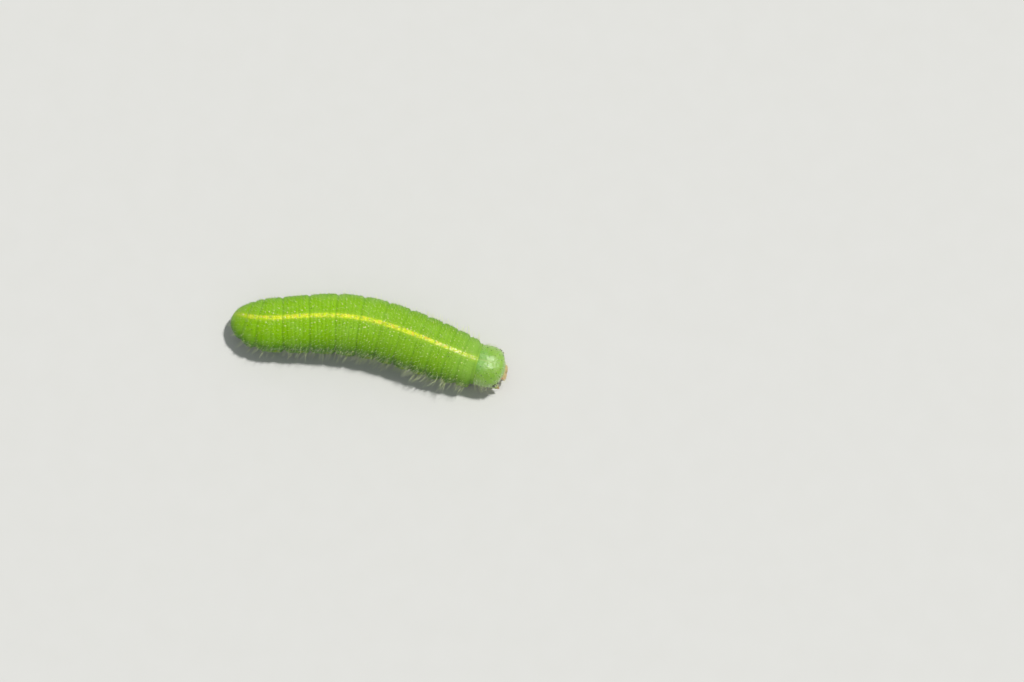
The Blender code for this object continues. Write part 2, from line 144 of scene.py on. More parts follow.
RING_BORDERS = ring_borders()
SPIRACLE_STATIONS = [
    start + 0.80 * length
    for start, (name, length, _) in zip(SEGMENT_STARTS, SEGMENTS)
    if name not in ("abdomen_10", "abdomen_9", "thorax_3", "thorax_2")
]


def folds(distance, angle):
    """How deep the skin lies in a border between segments, and between small rings, from 0 to 1."""
    flank = smooth(np.abs(angle), 0.6, 1.9)
    deep = np.zeros(np.broadcast(distance, angle).shape)
    fine = np.zeros_like(deep)
    for i, border in enumerate(SEGMENT_ENDS[:-1]):
        sway = 0.022 * np.sin(3.0 * angle + 1.9 * i) + 0.010 * np.sin(11.0 * angle + 0.7 * i)
        deep += np.exp(-(((distance - border + sway) / (0.070 + 0.045 * flank)) ** 2))
    for i, border in enumerate(RING_BORDERS):
        sway = 0.014 * np.sin(5.0 * angle + 1.3 * i) + 0.010 * np.sin(13.0 * angle + 2.1 * i)
        here = 0.75 + 0.25 * np.sin(4.0 * angle + 2.9 * i)
        fine += here * np.exp(-(((distance - border + sway) / 0.048) ** 2))
    return np.clip(deep, 0.0, 1.0), np.clip(fine, 0.0, 1.0)


def trunk_size(distance):
    """Half the width, then the heights of the back, the belly and the widest place."""
    rounding = np.sqrt(np.clip(1.0 - np.clip(1.0 - distance / TAIL_ROUND, 0.0, 1.0) ** 2, 0.0, 1.0))
    half = through(WIDTH_AT, HALF_WIDTHS, distance) * rounding
    back = TAIL_TIP_HEIGHT + (through(WIDTH_AT, BACK_HEIGHTS, distance) - TAIL_TIP_HEIGHT) * rounding
    belly = TAIL_TIP_HEIGHT + (through(WIDTH_AT, BELLY_HEIGHTS, distance) - TAIL_TIP_HEIGHT) * rounding
    return half, back, belly, belly + WIDEST_LEVEL * (back - belly)


def trunk_relief(distance, angle):
    """How much the skin's folds, ridge, crease and soft lumps change the size of a section."""
    turned = np.abs((angle + np.pi) % (2.0 * np.pi) - np.pi)
    inside = np.searchsorted(SEGMENT_ENDS, distance).clip(0, len(SEGMENTS) - 1)
    share = (distance - SEGMENT_STARTS[inside]) / (SEGMENT_ENDS[inside] - SEGMENT_STARTS[inside])
    swell = np.sin(np.pi * np.clip(share, 0.0, 1.0))
    ridge = np.exp(-(((turned - FLANK_ANGLE) / FLANK_SPREAD) ** 2)) * smooth(distance, 0.7, 1.6)
    crease = np.exp(-(((turned - CREASE_ANGLE) / CREASE_SPREAD) ** 2)) * smooth(distance, 1.2, 2.2)
    deep, fine = folds(distance, angle)
    deep = deep * (0.026 + 0.046 * smooth(turned, 0.7, 1.8))
    fine = fine * (0.016 + 0.008 * smooth(distance, 8.0, 12.0))
    soft = 1.0 - 0.45 * smooth(turned, 2.3, 2.9)
    size = 1.0 + ridge * (FLANK_RIDGE * (0.55 + 0.60 * swell)) + 0.012 * swell - 0.010
    size = size - CREASE_DEPTH * crease * swell - soft * (deep + fine)
    low = smooth(turned, 1.15, 1.55) * (1.0 - smooth(turned, 2.3, 2.7)) * smooth(distance, 0.6, 1.6)
    lumps = np.sin(14.0 * angle + 3.0 * np.sin(1.7 * distance))
    lumps = lumps * np.sin(7.3 * distance + 2.0 * np.sin(5.0 * angle))
    size = size + 0.011 * low * lumps
    return size + 0.004 * np.sin(9.0 * angle + 2.3 * distance) * np.sin(3.1 * distance + 1.0)


def trunk_point(distance, angle, lift=0.0, folded=True):
    """Points of the skin; lift is outward, in mm."""
    half, back, belly, widest = trunk_size(distance)
    across, up = np.sin(angle), np.cos(angle)
    power = np.where(up > 0.0, BACK_POWER, BELLY_POWER)
    reach = np.where(up > 0.0, back - widest, widest - belly)
    aside = half * np.sign(across) * np.abs(across) ** (2.0 / power)
    above = reach * np.sign(up) * np.abs(up) ** (2.0 / power)
    size = trunk_relief(distance, angle) if folded else 1.0
    size = size + lift / np.maximum(np.hypot(aside, above), 1e-6)
    return place_beside(distance, aside * size, widest + above * size)


HEAD_LENGTH, HEAD_WIDTH, HEAD_HEIGHT = 1.60, 2.42, 2.10
HEAD_CENTRE_HEIGHT, HEAD_NOD, NECK_CUT = 1.53, math.radians(16.0), 0.10
HEAD_SHARES_AT = (0.0, 0.14, 0.34, 0.56, 0.76, 0.90, 1.0)
HEAD_SHARES = (0.90, 0.97, 1.00, 0.99, 0.91, 0.76, 0.46)
FORK_AT, FORK_SPREAD, FACE_ROUND = 0.56, 1.80, 0.06
CLEFT_SPREAD, CLEFT_DEPTH = math.radians(13.0), 0.055


def fork_arms(share):
    """How far from the crown each arm of the forked seam lies."""
    return FORK_SPREAD * np.clip((share - FORK_AT) / (1.0 - FORK_AT), 0.0, 1.4) ** 1.1


def head_point(share, angle, lift=0.0, carved=True):
    """Points of the capsule: share from the neck to the face, angle from the crown to the left."""
    share, angle = np.broadcast_arrays(np.asarray(share, float), np.asarray(angle, float))
    nod = np.maximum(HEAD_NOD * np.minimum(share, 1.0), 1e-6)
    ahead = HEAD_LENGTH * share * np.sin(nod) / nod
    drop = HEAD_LENGTH * share * (1.0 - np.cos(nod)) / nod
    closing = np.sqrt(np.clip(1.0 - (np.clip(share - 1.0, 0.0, None) / FACE_ROUND) ** 2, 0.0, 1.0))
    size = through(HEAD_SHARES_AT, HEAD_SHARES, share) * closing
    turned = (angle + np.pi) % (2.0 * np.pi) - np.pi
    cleft = np.exp(-((turned / CLEFT_SPREAD) ** 2)) * (1.0 - smooth(share, 0.6, 0.9))
    size = size * (1.0 - CLEFT_DEPTH * cleft)
    sunk = np.zeros_like(size)
    if carved:
        arm = fork_arms(share)
        fork = np.exp(-(((np.abs(turned) - arm) * size / 0.035) ** 2))
        fork = fork * smooth(share, FORK_AT - 0.01, FORK_AT + 0.03)
        stem = np.exp(-((turned * size / 0.026) ** 2)) * (1.0 - smooth(share, FORK_AT, FORK_AT + 0.02))
        plate = smooth(arm - np.abs(turned), 0.0, 0.30) * smooth(share, FORK_AT, 0.85)
        sunk = 0.022 * np.maximum(fork, stem) + 0.030 * plate * closing
    aside = (0.5 * HEAD_WIDTH * size + lift - sunk) * np.sin(angle)
    above = (0.5 * HEAD_HEIGHT * size + lift - sunk) * np.cos(angle)
    distance = TRUNK_LENGTH + NECK_CUT + ahead + above * np.sin(nod)
    return place_beside(distance, aside, HEAD_CENTRE_HEIGHT - drop + above * np.cos(nod))


def neck_point(distance, angle, lift=0.0):
    """Points of the skin that, past the last fold, settle on to the back of the head capsule."""
    share = smooth(distance, TRUNK_LENGTH - 0.14, TRUNK_LENGTH + 0.20)[..., None]
    on_trunk = trunk_point(distance, angle, lift)
    head_share = (distance - TRUNK_LENGTH - NECK_CUT) / HEAD_LENGTH
    on_head = head_point(head_share, angle, lift + 0.075, carved=False)
    return on_trunk * (1.0 - share) + on_head * share


def skin_place(points):
    """Where points lie on the trunk: distance from the tail, angle from the back, width from the midline."""
    points = np.asarray(points) / MM
    nearest = np.empty(len(points), int)
    for low in range(0, len(points), 8000):
        part = points[low : low + 8000]
        away = (part[:, :1] - MIDLINE_X) ** 2 + (part[:, 1:2] - MIDLINE_Y) ** 2
        nearest[low : low + 8000] = away.argmin(axis=1)
    turn = heading(MIDLINE_AT[nearest])
    dx, dy = points[:, 0] - MIDLINE_X[nearest], points[:, 1] - MIDLINE_Y[nearest]
    along = MIDLINE_AT[nearest] + dx * np.cos(turn) + dy * np.sin(turn)
    aside = dy * np.cos(turn) - dx * np.sin(turn)
    widest = trunk_size(np.clip(along, 0.0, TRUNK_LENGTH))[3]
    return along, np.arctan2(aside, points[:, 2] - widest), aside


def set_values(mesh, name, values):
    """Stores one number or one vector for each vertex."""
    values = np.ascontiguousarray(values, dtype=np.float32)
    vector = values.ndim == 2
    layer = mesh.attributes.new(name, "FLOAT_VECTOR" if vector else "FLOAT", "POINT")
    layer.data.foreach_set("vector" if vector else "value", values.ravel())


def mesh_points(mesh):
    points = np.empty(len(mesh.vertices) * 3, np.float32)
    mesh.vertices.foreach_get("co", points)
    return points.reshape(-1, 3).astype(float)


def mark_skin(mesh):
    """Gives each vertex its place on the body, how deep it lies in a fold, and the spots on the flank."""
    along, angle, aside = skin_place(mesh_points(mesh))
    spot = np.zeros(len(along))
    for station in SPIRACLE_STATIONS:
        low = (np.abs(angle) - SPIRACLE_ANGLE) * 1.6 / 0.13
        spot += np.exp(-(((along - station + 0.16) / 0.13) ** 2) - low**2)
    set_values(mesh, "spot", spot)
    deep, fine = folds(along, angle)
    set_values(mesh, "place", np.stack([along, np.abs(angle), np.abs(aside)], axis=1))
    set_values(mesh, "fold", np.clip(deep + 0.6 * fine, 0.0, 1.0))


def grid_mesh(name, grid):
    """A closed mesh over rows of rings, with a fan over each end, facing outwards."""
    rows, around, _ = grid.shape
    index = np.arange(rows * around).reshape(rows, around)
    after = np.roll(index, -1, axis=1)
    quads = np.stack([index[:-1], after[:-1], after[1:], index[1:]], axis=-1).reshape(-1, 4).tolist()
    points = np.vstack([grid.reshape(-1, 3), grid[0].mean(axis=0), grid[-1].mean(axis=0)])
    ends = [(rows * around, index[0], after[0]), (rows * around + 1, after[-1], index[-1])]
    fans = [[tip, int(b), int(a)] for tip, first, second in ends for a, b in zip(first, second)]
    mesh = bpy.data.meshes.new(name)
    mesh.from_pydata(points.tolist(), [], quads + fans)
    shape = bmesh.new()
    shape.from_mesh(mesh)
    bmesh.ops.recalc_face_normals(shape, faces=shape.faces)
    shape.to_mesh(mesh)
    shape.free()
    return mesh


def add_piece(name, mesh, material=None):
    mesh.shade_smooth()
    if material:
        mesh.materials.clear()
        mesh.materials.append(material)
    piece = bpy.data.objects.new(name, mesh)
    bpy.context.scene.collection.objects.link(piece)
    return piece


def evaluated(piece):
    """Applies the piece's modifiers for good."""
    graph = bpy.context.evaluated_depsgraph_get()
    mesh = bpy.data.meshes.new_from_object(piece.evaluated_get(graph))
    piece.modifiers.clear()
    piece.data = mesh
    return mesh


def node(tree, kind, inputs=None, **settings):
    """Adds a node; an input is a value or the socket that feeds it."""
    made = tree.nodes.new(kind)
    for key, value in settings.items():
        setattr(made, key, value)
    for key, value in (inputs or {}).items():
        if isinstance(value, bpy.types.NodeSocket):
            tree.links.new(value, made.inputs[key])
        else:
            made.inputs[key].default_value = value
    return made


def maths(tree, operation, first, second=0.0):
    return node(tree, "ShaderNodeMath", {0: first, 1: second}, operation=operation).outputs[0]


def scaled(tree, vector, scale):
    return node(tree, "ShaderNodeVectorMath", {0: vector, "Scale": scale}, operation="SCALE").outputs[0]


def moved(tree, vector, offset):
    return node(tree, "ShaderNodeVectorMath", {0: vector, 1: offset}, operation="ADD").outputs[0]


def axes(tree, vector):
    return node(tree, "ShaderNodeSeparateXYZ", {0: vector}).outputs


def ramp(tree, value, low, high, start=0.0, end=1.0):
    """Runs smoothly from start to end while the value runs from low to high."""
    inputs = {"Value": value, "From Min": low, "From Max": high, "To Min": start, "To Max": end}
    return node(tree, "ShaderNodeMapRange", inputs, interpolation_type="SMOOTHSTEP").outputs[0]


def blend(tree, share, first, second):
    made = node(tree, "ShaderNodeMix", {0: share}, data_type="RGBA")
    for key, value in ((6, first), (7, second)):
        if isinstance(value, bpy.types.NodeSocket):
            tree.links.new(value, made.inputs[key])
        else:
            made.inputs[key].default_value = (*value, 1.0)
    return made.outputs[2]


def new_material(name, **constants):
    """A material with its Principled shader and a coordinate in mm; constants go on the shader's sockets."""
    material = bpy.data.materials.new(name)
    material.use_nodes = True
    tree = material.node_tree
    shader = tree.nodes["Principled BSDF"]
    for key, value in constants.items():
        shader.inputs[key.replace("_", " ")].default_value = value
    spot = node(tree, "ShaderNodeTexCoord").outputs["Object"]
    return material, tree, shader, scaled(tree, spot, 1000.0)


def noise(tree, vector, scale, detail=2.0, roughness=0.5):
    inputs = {"Vector": vector, "Scale": scale, "Detail": detail, "Roughness": roughness}
    return node(tree, "ShaderNodeTexNoise", inputs).outputs["Fac"]


def bump(tree, shader, height, distance, strength=1.0, under=None):
    inputs = {"Height": height, "Distance": distance * MM, "Strength": strength}
    if under:
        inputs["Normal"] = under
    made = node(tree, "ShaderNodeBump", inputs).outputs[0]
    tree.links.new(made, shader.inputs["Normal"])
    return made


# In the pairs on the next three lines, the second colour is painted shade: the back's green darkened for the
# flank, where the body turns from the light.
TAIL_GREEN_AND_FLANK_SHADE = (0.245, 0.510, 0.002), (0.092, 0.300, 0.001)
FRONT_GREEN_AND_FLANK_SHADE = (0.225, 0.450, 0.018), (0.115, 0.290, 0.002)
NECK_GREEN_AND_FLANK_SHADE = (0.252, 0.465, 0.080), (0.160, 0.345, 0.014)
# The last colour on the next line is painted shade, for skin deep in a fold.
BELLY_GREEN, MILKY_GREEN, FOLD_SHADE_GREEN = (0.250, 0.420, 0.070), (0.300, 0.540, 0.075), (0.130, 0.330, 0.006)
# The last colour on the next line is painted shade, in patches low on the flank.
LIGHT_GRAIN, DARK_GRAIN, LOW_FLANK_SHADE = (0.480, 0.690, 0.080), (0.110, 0.270, 0.010), (0.050, 0.170, 0.001)
LINE_YELLOWS = (0.620, 0.760, 0.006), (0.920, 0.930, 0.130)
HALO_GREEN, ROSY_YELLOW, PALE_YELLOW = (0.480, 0.700, 0.040), (0.820, 0.480, 0.080), (0.860, 0.920, 0.520)
SPOT_YELLOW = (0.560, 0.660, 0.020)


def mark_line(tree, point, along, angle, aside, crest):
    """The line down the back, from 0 to 1: ragged, narrower to the front, broken at the folds."""
    ragged = maths(tree, "MULTIPLY", noise(tree, point, 7.0, 3.0, 0.7), 0.17)
    edge = maths(tree, "SUBTRACT", aside, ragged)
    broken = ramp(tree, noise(tree, point, 3.4, 2.0, 0.6), 0.36, 0.52, 0.45, 1.0)
    line = ramp(tree, edge, ramp(tree, along, 8.0, 13.5, 0.085, 0.050), -0.010)
    for share in (
        ramp(tree, angle, 1.3, 0.9),
        ramp(tree, along, 0.05, 1.6, 0.15, 1.0),
        ramp(tree, along, 13.2, 14.6, 1.0, 0.45),
        maths(tree, "MULTIPLY", broken, ramp(tree, crest, 0.0, 0.7, 0.35, 1.0)),
    ):
        line = maths(tree, "MULTIPLY", line, share)
    return line


def make_markings_and_shade():
    """The larva's colours, from a place on its body: green, with a broken yellow line down the back, and
    painted shade on the flanks and in the folds.
    """
    tree = bpy.data.node_groups.new("larva markings", "ShaderNodeTree")
    for label, kind in (("Place", "Vector"), ("Fold", "Float"), ("Spot", "Float"), ("Point", "Vector")):
        tree.interface.new_socket(label, in_out="INPUT", socket_type="NodeSocket" + kind)
    tree.interface.new_socket("Color", in_out="OUTPUT", socket_type="NodeSocketColor")
    given = tree.nodes.new("NodeGroupInput").outputs
    out = tree.nodes.new("NodeGroupOutput")
    parts = axes(tree, given["Place"])
    along, angle, aside = parts["X"], parts["Y"], parts["Z"]
    point, fold = given["Point"], given["Fold"]
    crest = maths(tree, "SUBTRACT", 1.0, fold)
    grain = noise(tree, point, 13.0, 2.0, 0.55)
    # Painted shade: the green darkens down each flank.
    tail = blend(tree, ramp(tree, angle, 0.5, 1.7), *TAIL_GREEN_AND_FLANK_SHADE)
    front = blend(tree, ramp(tree, angle, 0.5, 1.7), *FRONT_GREEN_AND_FLANK_SHADE)
    green = blend(tree, ramp(tree, along, 3.0, 12.5), tail, front)
    green = blend(tree, ramp(tree, angle, 1.95, 2.6), green, BELLY_GREEN)
    milky = maths(tree, "MULTIPLY", ramp(tree, noise(tree, point, 1.1, 3.0, 0.6), 0.45, 0.72), 0.40)
    green = blend(tree, milky, green, MILKY_GREEN)
    # Painted shade: darker green where the skin lies deep in a fold.
    green = blend(tree, maths(tree, "MULTIPLY", fold, 0.42), green, FOLD_SHADE_GREEN)
    green = blend(tree, ramp(tree, grain, 0.56, 0.72, 0.0, 0.38), green, LIGHT_GRAIN)
    green = blend(tree, ramp(tree, grain, 0.42, 0.28, 0.0, 0.28), green, DARK_GRAIN)
    # Painted shade: dark patches low on each flank.
    low = maths(tree, "MULTIPLY", ramp(tree, angle, 1.10, 1.50), ramp(tree, angle, 2.5, 2.2))
    shade_patches = ramp(tree, noise(tree, point, 3.6, 3.0, 0.65), 0.62, 0.44, 0.0, 0.88)
    green = blend(tree, maths(tree, "MULTIPLY", low, shade_patches), green, LOW_FLANK_SHADE)
    # Painted shade also darkens the flank near the head.
    near_head = blend(tree, ramp(tree, angle, 0.9, 1.5), *NECK_GREEN_AND_FLANK_SHADE)
    green = blend(tree, ramp(tree, along, 12.4, 14.5, 0.0, 0.6), green, near_head)
    halo = maths(tree, "MULTIPLY", ramp(tree, aside, 0.36, 0.06), 0.30)
    green = blend(tree, maths(tree, "MULTIPLY", halo, ramp(tree, angle, 1.3, 0.9)), green, HALO_GREEN)
    green = blend(tree, maths(tree, "MULTIPLY", given["Spot"], 0.42), green, SPOT_YELLOW)
    rosy = ramp(tree, noise(tree, point, 4.4, 1.0), 0.54, 0.62)
    rosy = maths(tree, "MULTIPLY", rosy, ramp(tree, along, 7.5, 10.0, 0.25, 0.60))
    pale = maths(tree, "MULTIPLY", ramp(tree, along, 11.0, 13.6), ramp(tree, grain, 0.46, 0.56))
    yellow = blend(tree, ramp(tree, grain, 0.45, 0.65), *LINE_YELLOWS)
    yellow = blend(tree, pale, blend(tree, rosy, yellow, ROSY_YELLOW), PALE_YELLOW)
    line = mark_line(tree, point, along, angle, aside, crest)
    tree.links.new(blend(tree, line, green, yellow), out.inputs["Color"])
    return tree


def marked(tree, markings_and_shade, point):
    """The colour of the pattern and painted shade at this surface's stored place."""
    group = node(tree, "ShaderNodeGroup", node_tree=markings_and_shade)
    tree.links.new(point, group.inputs["Point"])
    for label, output in (("Place", "Vector"), ("Fold", "Fac"), ("Spot", "Fac")):
        value = node(tree, "ShaderNodeAttribute", attribute_name=label.lower()).outputs[output]
        tree.links.new(value, group.inputs[label])
    return group.outputs["Color"]


def make_skin_material(markings_and_shade):
    material, tree, shader, point = new_material(
        "skin", Roughness=0.45, Subsurface_Weight=0.30, Subsurface_Radius=(0.55, 1.0, 0.25),
        Subsurface_Scale=0.35 * MM, Specular_IOR_Level=0.24, Specular_Tint=(0.85, 1.0, 0.40, 1.0),
    )
    tree.links.new(marked(tree, markings_and_shade, point), shader.inputs["Base Color"])
    pits = node(tree, "ShaderNodeTexVoronoi", {"Vector": point, "Scale": 15.0}).outputs["Distance"]
    grain = noise(tree, point, 30.0, 3.0, 0.6)
    under = bump(tree, shader, noise(tree, point, 6.0, 3.0, 0.6), 0.040, 0.6)
    height = maths(tree, "ADD", maths(tree, "MULTIPLY", pits, -0.9), maths(tree, "MULTIPLY", grain, 0.8))
    bump(tree, shader, height, 0.022, 0.8, under)
    tree.links.new(ramp(tree, grain, 0.35, 0.65, 0.36, 0.58), shader.inputs["Roughness"])
    return material


FOOT_STATIONS = [
    (0.00, 1.00), (0.15, 1.01), (0.28, 1.01), (0.38, 0.98), (0.46, 0.93), (0.50, 0.89), (0.54, 0.91),
    (0.60, 0.93), (0.66, 0.88), (0.71, 0.82), (0.76, 0.82), (0.82, 0.86), (0.88, 0.88), (0.93, 0.86),
    (0.97, 0.80), (0.99, 0.74), (1.00, 0.68),
]
FOOT_AROUND, FOOT_ROOT_ANGLE = 40, math.radians(146.0)
SOFT_FEET = []
for side, word in SIDES:
    for number in (3, 4, 5, 6):
        middle = SEGMENT_MIDDLES[f"abdomen_{number}"]
        SOFT_FEET.append((f"proleg_{word}_{number}", side, middle, 0.43, (middle, 1.06), 0.33))
    SOFT_FEET.append((f"clasper_{word}", side, 0.66, 0.36, (0.74, 0.56), 0.29))


def soft_foot_rings(side, distance, root_radius, foot_at, foot_radius):
    """Rings of a soft foot: a fleshy stump with two creases, an ankle, and a flat pad on the floor."""
    turns = np.linspace(0.0, 2.0 * np.pi, FOOT_AROUND, endpoint=False)
    root = trunk_point(np.array(distance), np.array(side * FOOT_ROOT_ANGLE), -0.35, folded=False)
    down = place_beside(np.array(foot_at[0]), np.array(side * foot_at[1]), 0.0) - root
    lean = down / np.linalg.norm(down)
    rings = []
    for share, size in FOOT_STATIONS:
        flat = float(smooth(np.array(share), 0.30, 0.78))
        axis = lean * (1.0 - flat) + np.array([0.0, 0.0, -1.0]) * flat
        axis /= np.linalg.norm(axis)
        out = np.array([math.cos(heading(distance)), math.sin(heading(distance)), 0.0])
        out -= axis * out.dot(axis)
        out /= np.linalg.norm(out)
        radius = (root_radius * (1.0 - flat) + foot_radius * 1.18 * flat) * size * MM
        wave = 1.0 + 0.02 * np.sin(3.0 * turns + 5.0 * share)
        wide, deep = radius * wave, radius * (0.86 + 0.12 * flat) * wave
        ring = np.outer(np.cos(turns) * wide, out) + np.outer(np.sin(turns) * deep, np.cross(axis, out))
        rings.append(root + down * share + ring)
    grid = np.array(rings)
    grid[-1, :, 2] = 0.0
    grid[:, :, 2] = np.maximum(grid[:, :, 2], 0.0)
    return grid


def join_feet(skin):
    """Grows the soft feet out of the skin."""
    stumps = bpy.data.collections.new("soft feet")
    for name, *sizes in SOFT_FEET:
        stumps.objects.link(add_piece(name + "_stump", grid_mesh(name, soft_foot_rings(*sizes))))
    union = skin.modifiers.new("feet", "BOOLEAN")
    union.operation, union.solver = "UNION", "EXACT"
    union.operand_type, union.collection = "COLLECTION", stumps
    mesh = evaluated(skin)
    for stump in list(stumps.objects):
        bpy.data.objects.remove(stump)
    bpy.data.collections.remove(stumps)
    return mesh


def settle_feet(skin, mesh):
    """Smooths the skin where a foot leaves it."""
    points = mesh_points(mesh)
    near = np.zeros(len(points))
    for _, side, distance, root_radius, _, _ in SOFT_FEET:
        root = trunk_point(np.array(distance), np.array(side * FOOT_ROOT_ANGLE), 0.0, folded=False)
        away = np.linalg.norm(points - root, axis=1) / MM
        near = np.maximum(near, smooth(away, root_radius + 0.30, root_radius + 0.10))
    near *= points[:, 2] > 0.30 * MM
    group = skin.vertex_groups.new(name="roots")
    for i in np.flatnonzero(near > 0.02):
        group.add([int(i)], float(near[i]), "REPLACE")
    settle = skin.modifiers.new("settle", "SMOOTH")
    settle.factor, settle.iterations, settle.vertex_group = 0.5, 14, "roots"
    mesh = evaluated(skin)
    skin.vertex_groups.clear()
    return mesh


def make_skin(material):
    rows = np.concatenate([
        TAIL_ROUND * (1.0 - np.cos(np.linspace(0.012, 0.5, 30, endpoint=False) * np.pi)) * 0.42,
        np.linspace(0.42 * TAIL_ROUND, TRUNK_LENGTH + 0.20, SKIN_ROWS - 40),
        [TRUNK_LENGTH + past for past, _ in COLLAR_TURNS_IN],
    ])
    lifts = np.zeros(len(rows))
    lifts[-len(COLLAR_TURNS_IN) :] = [lift for _, lift in COLLAR_TURNS_IN]
    turns = np.linspace(-np.pi, np.pi, SKIN_AROUND, endpoint=False)
    grid = neck_point(rows[:, None], turns[None, :], lifts[:, None])
    skin = add_piece("trunk_skin", grid_mesh("trunk_skin", grid))
    mesh = settle_feet(skin, join_feet(skin))
    mesh.shade_smooth()
    mesh.materials.clear()
    mesh.materials.append(material)
    mark_skin(mesh)
    return skin


markings_and_shade = make_markings_and_shade()
skin = make_skin(make_skin_material(markings_and_shade))
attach(skin, "root")
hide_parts(*[name for name, _, _ in SEGMENTS], *[foot[0] for foot in SOFT_FEET])

# Head capsule: a thin, smooth shell of pale green horn in two lobes. A cleft runs down from the crown
# and forks into an inverted Y round the forehead plate, above a soft pinkish lip plate.
CROWN_GREEN, CHEEK_GREEN, CHIN_OCHRE = (0.228, 0.462, 0.026), (0.238, 0.480, 0.001), (0.460, 0.430, 0.060)
CLOUD_GREEN, CELL_GREEN, CROWN_BLUE = (0.300, 0.535, 0.070), (0.210, 0.410, 0.028), (0.165, 0.445, 0.075)
FRECKLE, SEAM_PALE, LIP_PLATE = (0.060, 0.110, 0.020), (0.420, 0.600, 0.160), (0.560, 0.420, 0.180)
HEAD_AROUND = 200


def head_outward(share, angle):
    """Directions square to the capsule."""
    ahead = head_point(share + 0.01, angle, carved=False) - head_point(share - 0.01, angle, carved=False)
    across = head_point(share, angle + 0.01, carved=False) - head_point(share, angle - 0.01, carved=False)
    out = np.cross(ahead, across)
    out /= np.linalg.norm(out, axis=-1, keepdims=True)
    rough = head_point(share, angle, 0.1, carved=False) - head_point(share, angle, 0.0, carved=False)
    return out * np.sign((out * rough).sum(axis=-1, keepdims=True))


def face_point(across, down, out):
    """Points measured from the middle of the face, in its own tilted plane, in mm."""
    nod = HEAD_NOD
    ahead = HEAD_LENGTH * math.sin(nod) / nod + out * math.cos(nod) - down * math.sin(nod)
    drop = HEAD_LENGTH * (1.0 - math.cos(nod)) / nod + out * math.sin(nod) + down * math.cos(nod)
    return place_beside(TRUNK_LENGTH + NECK_CUT + ahead, across, HEAD_CENTRE_HEIGHT - drop)


def stored_place(tree):
    """The three values of this surface's stored place."""
    return axes(tree, node(tree, "ShaderNodeAttribute", attribute_name="place").outputs["Vector"])


def make_capsule_material():
    material, tree, shader, point = new_material(
        "capsule", Roughness=0.34, Subsurface_Weight=0.30, Subsurface_Radius=(0.6, 1.0, 0.4),
        Subsurface_Scale=0.30 * MM, Specular_IOR_Level=0.5, Coat_Weight=1.0, Coat_Roughness=0.19,
    )
    parts = stored_place(tree)
    share, angle, fork = parts["X"], parts["Y"], parts["Z"]
    cells = noise(tree, point, 9.0, 2.0, 0.6)
    green = blend(tree, ramp(tree, angle, 0.5, 1.8), CROWN_GREEN, CHEEK_GREEN)
    green = blend(tree, ramp(tree, angle, 1.7, 2.4), green, CHIN_OCHRE)
    cloud = ramp(tree, noise(tree, point, 2.2, 3.0, 0.6), 0.45, 0.70, 0.0, 0.5)
    green = blend(tree, cloud, green, CLOUD_GREEN)
    green = blend(tree, ramp(tree, cells, 0.52, 0.68, 0.0, 0.35), green, CELL_GREEN)
    crown = maths(tree, "MULTIPLY", ramp(tree, share, 0.52, 0.18), ramp(tree, angle, 0.85, 0.35))
    green = blend(tree, maths(tree, "MULTIPLY", crown, 0.45), green, CROWN_BLUE)
    freckle = node(tree, "ShaderNodeTexVoronoi", {"Vector": point, "Scale": 5.2}).outputs["Distance"]
    green = blend(tree, maths(tree, "MULTIPLY", ramp(tree, freckle, 0.10, 0.05), 0.45), green, FRECKLE)
    green = blend(tree, maths(tree, "MULTIPLY", fork, 0.55), green, SEAM_PALE)
    lips = maths(tree, "MULTIPLY", ramp(tree, share, 0.93, 1.01), ramp(tree, angle, 0.7, 1.5))
    tree.links.new(blend(tree, lips, green, LIP_PLATE), shader.inputs["Base Color"])
    tree.links.new(ramp(tree, cells, 0.3, 0.7, 0.28, 0.46), shader.inputs["Roughness"])
    net = node(tree, "ShaderNodeTexVoronoi", {"Vector": point, "Scale": 30.0}, feature="DISTANCE_TO_EDGE")
    net = ramp(tree, net.outputs["Distance"], 0.0, 0.14, 0.0, 0.35)
    dimples = bump(tree, shader, noise(tree, point, 3.4, 3.0, 0.65), 0.075, 0.70)
    fine = bump(tree, shader, maths(tree, "ADD", net, cells), 0.009, 0.6, dimples)
    tree.links.new(fine, shader.inputs["Coat Normal"])
    return material


def make_head(material):
    round_off = 1.0 + FACE_ROUND * np.sin(np.linspace(0.03, 0.495, 26) * np.pi)
    shares = [[0.02, 0.0], np.linspace(0.004, 0.80, 110), np.linspace(0.805, 1.0, 60), round_off]
    shares = np.concatenate(shares)
    lifts = np.zeros(len(shares))
    lifts[0] = -0.35
    turns = np.linspace(-np.pi, np.pi, HEAD_AROUND, endpoint=False)
    mesh = grid_mesh("head_capsule", head_point(shares[:, None], turns[None, :], lifts[:, None]))
    full = np.repeat(shares, len(turns))
    around = np.abs(np.tile(turns, len(shares)))
    fork = np.exp(-(((around - fork_arms(full)) / 0.05) ** 2)) * (full > 0.04)
    place = np.stack([full, around, fork], axis=1)
    set_values(mesh, "place", np.vstack([place, place[0], place[-1]]))
    return add_piece("head_capsule", mesh, material)


head = make_head(make_capsule_material())
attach(head, "root")
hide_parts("head")

# Eyes: six simple eyes on each cheek, in a broken C. Each is a clear, glassy dome of horn over black
# pigment, set in the capsule.
EYE_STATION, EYE_ANGLE, EYE_ARC_RADIUS, EYE_ARC = 0.90, math.radians(86.0), 0.23, math.radians(200.0)
EYE_RADII = (0.046, 0.050, 0.054, 0.054, 0.050, 0.044)


